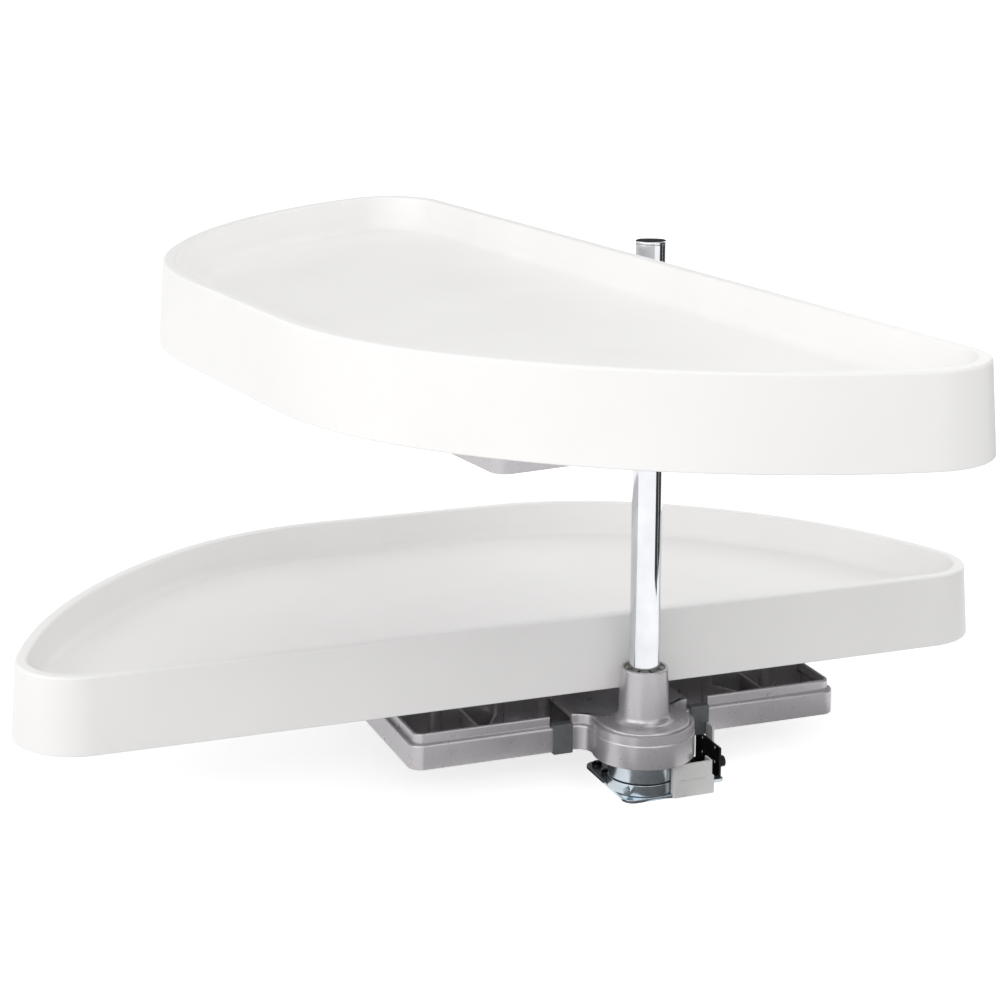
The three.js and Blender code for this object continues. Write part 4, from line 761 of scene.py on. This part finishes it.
def hub_run(inset):
    """The casting's front outline from one end of its hollow curve to the other, drawn in by an inset."""
    meet = math.degrees(math.atan2(SWEEP_Y, SWEEP_X))
    sweep = SWEEP_RADIUS + inset
    return [
        *arc(-SWEEP_X, SWEEP_Y, sweep, 90, -meet, SWEEP_STEPS),
        *arc(0, 0, HUB_RADIUS - inset, 180 - meet, 360 + meet, HUB_STEPS)[1:-1],
        *arc(SWEEP_X, SWEEP_Y, sweep, 180 + meet, 90, SWEEP_STEPS),
    ]


def frame_run(inset, reach):
    """The frame's outline from the right of the hub round the back to the left of it."""
    centre_x, radius = CARRIAGE_HALF - CARRIAGE_CORNER, CARRIAGE_CORNER - inset
    front, back = CARRIAGE_FRONT + CARRIAGE_CORNER, CARRIAGE_BACK - CARRIAGE_CORNER
    return [
        (reach, CARRIAGE_FRONT + inset),
        *arc(centre_x, front, radius, 270, 360, FRAME_STEPS),
        *arc(centre_x, back, radius, 0, 90, FRAME_STEPS),
        *arc(-centre_x, back, radius, 90, 180, FRAME_STEPS),
        *arc(-centre_x, front, radius, 180, 270, FRAME_STEPS),
        (-reach, CARRIAGE_FRONT + inset),
    ]


def casting_outline(inset):
    return [*hub_run(inset), *frame_run(inset, SWEEP_X + 1)]


def lip_section(top_inner):
    foot, outer, inner = SKIRT_HEIGHT, LIP_SETBACK, LIP_SETBACK + LIP_WALL
    return rounded([
        (outer - 1, foot - 1.5, 0), (outer - 1, foot - 0.03, 0), (outer, foot, 0.9),
        (outer, LIP_TOP, 1.5), (inner, LIP_TOP, top_inner), (inner, foot - 1.5, 0),
    ])


def casting_walls(form):
    """The skirt with its ledge, and the lip on it, which is interrupted at the bumpers."""
    shoulder = LIP_SETBACK + LIP_WALL
    form.swept_round(casting_outline, rounded([
        (0, 0, 0.7), (0, SKIRT_HEIGHT, SKIRT_ROUND), (shoulder, SKIRT_HEIGHT, 0.3),
        (shoulder, SKIRT_HEIGHT - LEDGE, 0.4), (SKIRT_WALL, SKIRT_HEIGHT - LEDGE, 0.8), (SKIRT_WALL, 0, 0.7),
    ]))
    form.swept(hub_run, lip_section(0))
    reach = BUMPER_X + BUMPER_WIDTH / 2 + BUMPER_GAP
    form.swept(lambda inset: frame_run(inset, reach), lip_section(1.2))


def bored(form, outline, radius, z0, z1):
    """A plate round the axis, from its outline in to a hole."""
    hole, turn = [], 0.0
    start = math.atan2(outline[0][1], outline[0][0])
    for x, y in outline:
        turn = max(turn, (math.atan2(y, x) - start + SLACK) % math.tau - SLACK)
        hole.append((radius * math.cos(start + turn), radius * math.sin(start + turn)))
    runs = ((outline, z0), (outline, z1), (hole, z1), (hole, z0))
    form.loft([[(x, y, z) for x, y in run] for run, z in runs], closed=True)


def casting_hub(form):
    """The hub's top plate and web, its inner wall, and the tapered neck with the boss below it."""
    edge = LIP_SETBACK + LIP_WALL - NUDGE
    plate = [*hub_run(edge), (WEB_HALF, TRACK_Y[0] - 1), (-WEB_HALF, TRACK_Y[0] - 1)]
    bored(form, plate, BORE_RADIUS + 1, LIP_TOP - HUB_PLATE, LIP_TOP)
    wall = HUB_RADIUS - SKIRT_WALL - 0.1
    outside, sunk = HUB_RADIUS - BITE, LIP_TOP - HUB_SINK
    form.turned(rounded([(wall, 0.1, 0.5), (outside, 0.1, 0.3), (outside, sunk, 0), (wall, sunk, 0)]))
    foot, spread = CONE_FOOT_RADIUS, CONE_FOOT_RADIUS + CONE_SEAT
    form.turned(rounded([
        (BORE_RADIUS, BOSS_LIFT, 0.4), (BOSS_RADIUS, BOSS_LIFT, 0.5), (BOSS_RADIUS, sunk, 0),
        (spread, sunk, 0), (spread, LIP_TOP - 0.02, 0), (foot, LIP_TOP + 0.02, CONE_FILLET),
        (CONE_TOP_RADIUS, CONE_TOP, 1.2), (BORE_RADIUS, CONE_TOP, 0.9),
    ], NECK_STEPS))


def casting_frame(form):
    """The frame's floor, the walls that carry the tracks, their screw bosses and the ribs."""
    inset = FRAME_FLOOR_INSET
    hub, front, reach = HUB_RADIUS - FRAME_FLOOR_BITE, CARRIAGE_FRONT + inset, CARRIAGE_HALF - inset
    angle = math.degrees(math.asin(front / hub))
    outline = box_outline(-reach, reach, front, CARRIAGE_BACK - inset, CARRIAGE_CORNER - inset)
    form.prism([
        *arc(0, 0, hub, 180 - angle, angle, BITE_STEPS),
        *outline[BOX_STEPS + 1:],
        (-CARRIAGE_HALF + CARRIAGE_CORNER, front),
    ], NUDGE, FRAME_FLOOR)
    low, boss_top = FRAME_FLOOR - BITE, TRACK_WALL_TOP + NUDGE
    boss = [(0, low), (SCREW_BOSS, low), (SCREW_BOSS - SCREW_BOSS_DRAFT, boss_top), (0, boss_top)]
    for y in TRACK_Y:
        half = TRACK_WALL / 2
        form.block(-WALL_HALF, WALL_HALF, y - half, y + half, low, SKIRT_HEIGHT - LEDGE)
        form.block(-TRACK_HALF, TRACK_HALF, y - half - NUDGE, y + half + NUDGE, low, TRACK_WALL_TOP)
        for x in BOSS_X:
            for side in (-1, 1):
                form.turned(boss, SMALL_STEPS, side * x, y)
    half = RIB / 2
    wall_front, wall_back = CARRIAGE_FRONT + SKIRT_WALL - BITE, CARRIAGE_BACK - SKIRT_WALL + BITE
    for side in (-1, 1):
        x = side * RIB_X
        form.block(x - half, x + half, wall_front, TRACK_Y[0], low, RIB_TOP)
        form.block(x - half, x + half, TRACK_Y[0], wall_back, low, REAR_RIB_TOP)
        x = side * BOSS_X[0]
        form.block(x - half, x + half, TRACK_Y[0], TRACK_Y[1], low, REAR_RIB_TOP)
        start = Vector((side * RIB_X, CARRIAGE_FRONT + SKIRT_WALL))
        end = Vector((side * BOSS_X[1], TRACK_Y[0]))
        across = (end - start).orthogonal().normalized() * half
        corners = [start + across, start - across, end - across, end + across]
        form.prism([(p.x, p.y) for p in corners], low, REAR_RIB_TOP)


def casting():
    form = Form()
    casting_walls(form)
    casting_hub(form)
    casting_frame(form)
    return form.mesh("casting")


def bumper():
    """A clip over the frame's front wall, drawn about x = 0."""
    outer = CARRIAGE_FRONT - SEAT - BUMPER_SHEET
    wall_back = CARRIAGE_FRONT + SKIRT_WALL + SEAT
    inner = wall_back + BUMPER_SHEET
    top = SKIRT_HEIGHT + SEAT + BUMPER_SHEET
    section = rounded([
        (outer, -BUMPER_DROP, 0.5), (wall_back, -BUMPER_DROP, 0.5), (wall_back, -SEAT, 0.4),
        (outer + BUMPER_SHEET, -SEAT, 0.2), (outer + BUMPER_SHEET, SKIRT_HEIGHT + SEAT, 0.2),
        (wall_back, SKIRT_HEIGHT + SEAT, 0.2), (wall_back, SKIRT_HEIGHT - BUMPER_LEG, 0.4),
        (inner, SKIRT_HEIGHT - BUMPER_LEG, 0.5), (inner, top, 0.8), (outer, top, 1.4),
    ])
    return Form().bar(section, -BUMPER_WIDTH / 2, BUMPER_WIDTH / 2).mesh("bumper")


def notched_bush():
    """The bush in the neck's mouth: a ring with notches in its upper edge."""
    outer, top = BORE_RADIUS - SEAT, CONE_TOP - BUSH_SINK
    bottom, notch = top - BUSH_LENGTH, top - BUSH_NOTCH
    form = Form().turned(rounded([
        (POST_BORE, bottom, 0.3), (outer, bottom, 0.3), (outer, notch, 0.1), (POST_BORE, notch, 0.1),
    ]))
    half = 180 / BUSH_TEETH - math.degrees(BUSH_GAP / 2 / POST_RADIUS)
    foot = notch - BITE
    section = rounded([(outer, foot, 0), (outer, top, 0.5), (POST_BORE, top, 0.5), (POST_BORE, foot, 0)])
    for i in range(BUSH_TEETH):
        middle = 360 * (i + 0.5) / BUSH_TEETH
        form.swept(lambda radius: arc(0, 0, radius, middle - half, middle + half, FINE_STEPS), section)
    return form.mesh("notched_bush")


def bottom_bush():
    outer, bottom, top = BORE_RADIUS - SEAT, BOSS_LIFT, BOSS_LIFT + FOOT_BUSH_LENGTH
    return Form().turned(rounded([
        (POST_BORE, bottom, 0.3), (outer, bottom, 0.3), (outer, top, 0.3), (POST_BORE, top, 0.3),
    ])).mesh("bottom_bush")


# ---------------------------------------- tray

def tray_run(inset):
    """The tray's D shape, drawn in by an inset: straight on y = 0, with round corners and a flatter back."""
    corner = Vector((TRAY_HALF - TRAY_CORNER, TRAY_CORNER))
    shoulder = Vector((TRAY_FLAT, TRAY_DEPTH - TRAY_SHOULDER))
    to_corner, to_shoulder = TRAY_END - TRAY_CORNER, TRAY_END - TRAY_SHOULDER
    line = shoulder - corner
    along = (to_corner ** 2 - to_shoulder ** 2 + line.length ** 2) / (2 * line.length)
    off = math.sqrt(to_corner ** 2 - along ** 2)
    unit = line.normalized()
    end = corner + unit * along + Vector((-unit.y, unit.x)) * off
    turn_in = math.degrees(math.atan2(corner.y - end.y, corner.x - end.x))
    turn_back = math.degrees(math.atan2(shoulder.y - end.y, shoulder.x - end.x))
    right = [
        *arc(corner.x, corner.y, TRAY_CORNER - inset, -90, turn_in, TRAY_CORNER_STEPS),
        *arc(end.x, end.y, TRAY_END - inset, turn_in, turn_back, TRAY_END_STEPS)[1:],
        *arc(shoulder.x, shoulder.y, TRAY_SHOULDER - inset, turn_back, 90, TRAY_BACK_STEPS)[1:],
    ]
    return [*right, *[(-x, y) for x, y in reversed(right)]]


def tray():
    """One moulding with a hollow rim, drawn at its place over the carriage."""
    inner_edge = TRAY_FLARE + TRAY_RIM
    foot = inner_edge + TRAY_SLOPE
    ease, reach = foot + TRAY_FLOOR_EASE, foot + TRAY_FLOOR_REACH
    roof = TRAY_HEIGHT - TRAY_SKIN
    stations = [
        (reach, TRAY_FLOOR_TOP, 0), (ease, TRAY_FLOOR_TOP, 0), (foot, TRAY_FLOOR_TOP, TRAY_FILLET),
        (inner_edge, TRAY_HEIGHT, 2.2), (TRAY_FLARE, TRAY_HEIGHT, 2.4), (0, 0, 1.0), (TRAY_SKIN, 0, 0.8),
        (TRAY_SKIN + TRAY_FLARE, roof, 1.5), (inner_edge - TRAY_SKIN, roof, 1.5),
        (foot - TRAY_SKIN, TRAY_FLOOR_BOTTOM, TRAY_FILLET), (ease, TRAY_FLOOR_BOTTOM, 0),
        (reach, TRAY_FLOOR_BOTTOM, 0),
    ]
    form = Form().loft([
        [(x, y, z) for x, y in tray_run(inset + INSIDE_FACETS)]
        for inset, z in rounded(stations, FINE_STEPS, closed=False)
    ])
    neck, root = FLANGE_BOTTOM - TRAY_LIFT - SEAT, TRAY_PAD_BOTTOM + BITE
    head = neck - STAKE_HEAD_HEIGHT
    stake = rounded([
        (0, head, 0), (STAKE_HEAD, head, 1.2), (STAKE_HEAD, neck, 0.2), (STAKE_RADIUS, neck, 0),
        (STAKE_RADIUS, root, 0), (0, root, 0),
    ])
    for y in TRACK_Y:
        middle = y - TRAY_STANDOFF
        pad = (-RUNNER_HALF, RUNNER_HALF, middle - PAD_HALF, middle + PAD_HALF)
        form.block(*pad, TRAY_PAD_BOTTOM, TRAY_FLOOR_BOTTOM + BITE)
        for x in STAKE_X:
            for side in (-1, 1):
                form.turned(stake, STAKE_STEPS, x, middle + side * STAKE_Y)
    return form.moved(at(y=TRAY_STANDOFF, z=TRAY_LIFT)).mesh("tray")


# ---------------------------------------- the two levels

def level(name, z, turn, slide, parts):
    """One carriage with its bushes, bumpers and tray, at its height, turn and slide."""
    place = at(0, 0, z, turn)
    body, shelf = f"{name}_level", f"{name}_shelf"
    finished(
        f"{name}_casting", parts["casting"], "cast_paint", body, f"{name}_carriage", bevel=0.7, place=place,
    )
    for word, part, node in (("neck", "notched_bush", "top_bush"), ("foot", "bottom_bush", "bottom_bush")):
        finished(
            f"{name}_{word}_bush", parts[part], "bush_plastic", body, f"{name}_{node}", bevel=0, place=place,
        )
    for side, word in ((-1, "left"), (1, "right")):
        finished(
            f"{name}_{word}_bumper_clip", parts["bumper"], "bumper_plastic", body, f"{name}_{word}_bumper",
            bevel=0.4, place=place @ at(side * BUMPER_X),
        )
    finished(
        f"{name}_tray_moulding", parts["tray"], "white_polymer", shelf, f"{name}_tray",
        bevel=0.6, place=place @ at(slide),
    )


KEPT_NODES = {
    "track_screw": "zinc", "_track": "track_steel", "_runner": "runner_alloy", "_glide": "glide_plastic",
}


def carried_over(nodes):
    """The CAD nodes that stay get their finishes and rounded edges."""
    for name, node in nodes.items():
        slot = next((s for word, s in KEPT_NODES.items() if word in name), None)
        if slot is None:
            continue
        for holder in node.material_slots:
            holder.material = FINISHES[slot]
        bevelled(node, NODE_BEVEL, NODE_SEGMENTS, NODE_ANGLE)


# ---------------------------------------- stage, light and camera

def seen_white(material, colour, glow):
    """A pale surface that the camera sees as white where nothing shades it."""
    nodes, links = material.node_tree.nodes, material.node_tree.links
    nodes.clear()
    output = nodes.new("ShaderNodeOutputMaterial")
    diffuse = nodes.new("ShaderNodeBsdfDiffuse")
    diffuse.inputs["Color"].default_value = (colour, colour, colour, 1)
    emission = nodes.new("ShaderNodeEmission")
    rays = nodes.new("ShaderNodeLightPath")
    seen = nodes.new("ShaderNodeMath")
    seen.operation = "MAXIMUM"
    links.new(rays.outputs["Is Camera Ray"], seen.inputs[0])
    links.new(rays.outputs["Is Glossy Ray"], seen.inputs[1])
    scaled = nodes.new("ShaderNodeMath")
    scaled.operation, scaled.inputs[1].default_value = "MULTIPLY", glow
    links.new(seen.outputs[0], scaled.inputs[0])
    links.new(scaled.outputs[0], emission.inputs["Strength"])
    both = nodes.new("ShaderNodeAddShader")
    links.new(diffuse.outputs[0], both.inputs[0])
    links.new(emission.outputs[0], both.inputs[1])
    links.new(both.outputs[0], output.inputs["Surface"])


def flat_mesh(name, corners):
    """One face through corners given in metres, with a material of its own."""
    form = bmesh.new()
    form.faces.new([form.verts.new(corner) for corner in corners])
    data = bpy.data.meshes.new(name)
    form.to_mesh(data)
    form.free()
    material = bpy.data.materials.new(name)
    material.use_nodes = True
    data.materials.append(material)
    return data


def floor():
    half = FLOOR_HALF
    data = flat_mesh("floor", [(x, y, 0) for x, y in box_outline(-half, half, -half, half)])
    seen_white(data.materials[0], FLOOR_GREY, FLOOR_GLOW)
    ground = bpy.data.objects.new("floor", data)
    bpy.context.scene.collection.objects.link(ground)


def world():
    """Even grey light from all round, seen as white behind the object."""
    sky = bpy.data.worlds.new("studio")
    bpy.context.scene.world = sky
    sky.use_nodes = True
    nodes, links = sky.node_tree.nodes, sky.node_tree.links
    background = nodes["Background"]
    rays = nodes.new("ShaderNodeLightPath")
    seen = rays.outputs["Is Camera Ray"]
    for kind in ("Is Glossy Ray", "Is Transmission Ray"):
        either = nodes.new("ShaderNodeMath")
        either.operation = "MAXIMUM"
        links.new(seen, either.inputs[0])
        links.new(rays.outputs[kind], either.inputs[1])
        seen = either.outputs[0]
    strength = nodes.new("ShaderNodeMapRange")
    strength.inputs["To Min"].default_value, strength.inputs["To Max"].default_value = WORLD_LIGHT, 1.0
    links.new(seen, strength.inputs["Value"])
    links.new(strength.outputs["Result"], background.inputs["Strength"])
    background.inputs["Color"].default_value = (1, 1, 1, 1)


def towards(azimuth, elevation):
    """The unit vector at an angle from +X, and at an angle above the floor."""
    turn, lift = math.radians(azimuth), math.radians(elevation)
    return Vector((math.cos(turn) * math.cos(lift), math.sin(turn) * math.cos(lift), math.sin(lift)))


def softbox(name, azimuth, elevation, watts, length=LAMP_SIZE, width=LAMP_SIZE):
    """A flat lamp on a sphere round the object, facing its middle."""
    reach = towards(azimuth, elevation) * LAMP_DISTANCE
    data = bpy.data.lights.new(name, "AREA")
    data.shape, data.size, data.size_y, data.energy = "RECTANGLE", length, width, watts
    lamp = bpy.data.objects.new(name, data)
    lamp.location = Vector(LIT_POINT) + reach
    lamp.rotation_euler = (-reach).to_track_quat("-Z", "Y").to_euler()
    bpy.context.scene.collection.objects.link(lamp)


def dark_card(name, corners, shade):
    """A dark sheet through corners given in metres, seen only in gloss: it paints dark reflections into
    polished and painted surfaces, and neither shades nor lights anything.
    """
    data = flat_mesh(name, corners)
    shader = data.materials[0].node_tree.nodes["Principled BSDF"]
    shader.inputs["Base Color"].default_value = (shade, shade, shade, 1)
    card = bpy.data.objects.new(name, data)
    bpy.context.scene.collection.objects.link(card)
    card.visible_camera = card.visible_diffuse = card.visible_shadow = False


def dark_reflection_card(name, near, far, low, high):
    """A tall black card between two places given as (angle, distance), seen only in gloss: a painted dark
    reflection that lines polished metal.
    """
    (x0, y0, _), (x1, y1, _) = (towards(turn, 0) * distance for turn, distance in (near, far))
    dark_card(name, [(x0, y0, low), (x1, y1, low), (x1, y1, high), (x0, y0, high)], PAINTED_SHADE_BLACK)


def floor_shade_card(name, outline, shade, z):
    """A dark card flat over the floor, seen only in gloss: painted floor shade, standing for the object's
    shadow on the floor as metal and paint reflect it.
    """
    dark_card(name, [Vector((x, y, z)) * MM for x, y in outline], shade)


def sector(inner, outer, span):
    """The outline of a stretch of a ring round the post."""
    return [*arc(0, 0, outer, *span, SHADE_CARD_STEPS), *reversed(arc(0, 0, inner, *span, SHADE_CARD_STEPS))]


def lights():
    softbox("left", azimuth=180, elevation=15, watts=24)
    softbox("front_left", azimuth=-140, elevation=14, watts=18)
    softbox("right", azimuth=6, elevation=14, watts=17)
    softbox("back", azimuth=60, elevation=40, watts=15)
    softbox("top", azimuth=-100, elevation=80, watts=6)
    softbox("front_strip", azimuth=-100, elevation=32, watts=15, length=STRIP_LENGTH, width=STRIP_WIDTH)
    # Black cards seen only in gloss: painted dark reflections in the chrome post and other polished metal.
    dark_reflection_card("dark_reflection_front", (-46, 0.62), (-20, 0.55), 0, DARK_REFLECTION_HEIGHT)
    dark_reflection_card("dark_reflection_right", (-18, 0.6), (13, 0.78), 0, DARK_REFLECTION_HEIGHT)
    dark_reflection_card("dark_reflection_back", (54, 1.0), (105, 1.0), *BACK_DARK_REFLECTION_HEIGHTS)
    # Cards over the floor, seen only in gloss: painted shade of the floor under and in front of the object,
    # as the metal and paint reflect it.
    floor_shade_card("floor_shade_card", sector(SHADE_CARD_INNER, SHADE_CARD_MIDDLE, SHADE_CARD_SPAN), PAINTED_SHADE_BLACK, HIGH_SHADE_CARD_Z)
    floor_shade_card("far_floor_shade_card", sector(SHADE_CARD_MIDDLE, SHADE_CARD_OUTER, FAR_SHADE_CARD_SPAN), PAINTED_SHADE_GREY, HIGH_SHADE_CARD_Z)
    floor_shade_card("left_floor_shade_card", box_outline(*LEFT_SHADE_CARD), PAINTED_SHADE_GREY, LOW_SHADE_CARD_Z)
    floor_shade_card("under_floor_shade_card", box_outline(*UNDER_SHADE_CARD), PAINTED_SHADE_BLACK, LOW_SHADE_CARD_Z)


def camera():
    """The photograph's viewpoint, solved from the object's own edges."""
    yaw, pitch, roll = (math.radians(angle) for angle in (CAMERA_YAW, CAMERA_PITCH, CAMERA_ROLL))
    forward = Vector((math.sin(yaw) * math.cos(pitch), math.cos(yaw) * math.cos(pitch), -math.sin(pitch)))
    level_right = forward.cross(Vector((0, 0, 1))).normalized()
    level_up = level_right.cross(forward)
    right = level_right * math.cos(roll) + level_up * math.sin(roll)
    up = level_up * math.cos(roll) - level_right * math.sin(roll)
    data = bpy.data.cameras.new("camera")
    data.lens, data.sensor_width, data.shift_y = CAMERA_LENS, CAMERA_SENSOR, CAMERA_SHIFT
    eye = bpy.data.objects.new("camera", data)
    place = Matrix.Translation(Vector(CAMERA_PLACE) * MM)
    eye.matrix_world = place @ Matrix((right, up, -forward)).transposed().to_4x4()
    bpy.context.scene.collection.objects.link(eye)
    bpy.context.scene.camera = eye


camera()
floor()
world()
lights()
bpy.context.scene.view_settings.view_transform = "Standard"

base_plate()
socket_stack()
post()
washer("lower_thrust_washer", LOWER_WASHER_Z)
washer("upper_thrust_washer", COLLAR_TOP + SEAT)
front_bracket()
stile_plate()
stop_plate()
PARTS = {
    "casting": casting(), "notched_bush": notched_bush(), "bottom_bush": bottom_bush(),
    "bumper": bumper(), "tray": tray(),
}
level("lower", LOWER_CARRIAGE_Z, 0, LOWER_SLIDE, PARTS)
level("upper", UPPER_CARRIAGE_Z, UPPER_TURN, UPPER_SLIDE, PARTS)
carried_over(frame["nodes"])
